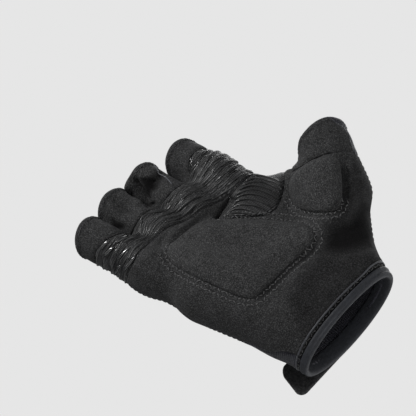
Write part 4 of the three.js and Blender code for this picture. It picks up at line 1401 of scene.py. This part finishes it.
finish_piece(add_mesh("closure_strap", strap_verts, strap_faces, STRAP), "strap", "wrist_tab")


# Camera, light and floor

def place(name, data, turned=None):
    """Puts a camera or lamp in the scene, with its matrix if it has one."""
    obj = bpy.data.objects.new(name, data)
    bpy.context.collection.objects.link(obj)
    if turned is not None:
        obj.matrix_world = turned
    return obj


camera_data = bpy.data.cameras.new("camera")
camera_data.sensor_width = 36
camera_data.lens = 36 * DISTANCE / (FRAME_PIXELS / PX_PER_MM)
camera_data.clip_start = 0.05
camera_data.clip_end = 20
camera_data.dof.use_dof = False
camera_pose = Matrix.Translation((EYE * MM).tolist()) @ Matrix(np.stack([RIGHT, UP, BACK], 1).tolist()).to_4x4()
bpy.context.scene.camera = place("camera", camera_data, camera_pose)


def lamp(name, way, distance, size, power):
    """A round lamp that shines on the glove from one side."""
    way = Vector(unit(way).tolist())
    data = bpy.data.lights.new(name, "AREA")
    data.shape = "DISK"
    data.size = size
    data.energy = power
    spot = Vector((TARGET * MM).tolist()) + way * distance * MM
    place(name, data, Matrix.Translation(spot) @ way.to_track_quat("Z", "Y").to_matrix().to_4x4())


lamp("key", -0.72 * RIGHT + 0.62 * UP + 0.31 * BACK, 1300, 0.24, 16.5)
lamp("rear", 0.2 * RIGHT + 0.5 * UP - 1.0 * BACK, 1500, 1.5, 22)
overhead = bpy.data.lights.new("overhead", "SUN")
overhead.energy = 1.0
overhead.angle = 0.9
place("overhead", overhead)

# The pale backdrop that the camera sees, and the dimmer light that it gives.
world = bpy.data.worlds.new("studio")
bpy.context.scene.world = world
world.use_nodes = True
tree = world.node_tree
tree.nodes.clear()
output = tree.nodes.new("ShaderNodeOutputWorld")
choose = tree.nodes.new("ShaderNodeMixShader")
rays = tree.nodes.new("ShaderNodeLightPath")
tree.links.new(rays.outputs["Is Camera Ray"], choose.inputs[0])
for socket, colour, strength in ((1, (0.9, 0.95, 1.0, 1), 0.08), (2, (0.791, 0.791, 0.791, 1), 1.0)):
    sky = tree.nodes.new("ShaderNodeBackground")
    sky.inputs["Color"].default_value = colour
    sky.inputs["Strength"].default_value = strength
    tree.links.new(sky.outputs[0], choose.inputs[socket])
tree.links.new(choose.outputs[0], output.inputs["Surface"])
bpy.context.scene.view_settings.view_transform = "Standard"

FLOOR_Z = -620.0
FLOOR_HALF = 9000.0
paint = Paint("pale_floor")
pale = paint.finish(paint.ramp(paint.noise(300, 2), (0.3, 0.80), (0.7, 0.82)), 0.9, Specular_IOR_Level=0.1,
                    Emission_Color=(1, 1, 1, 1), Emission_Strength=0.2)
corners = [(FLOOR_HALF * i, FLOOR_HALF * j, FLOOR_Z) for i, j in ((-1, -1), (1, -1), (1, 1), (-1, 1))]
floor = add_mesh("floor", np.array(corners), np.array([[0, 1, 2, 3]]), pale)
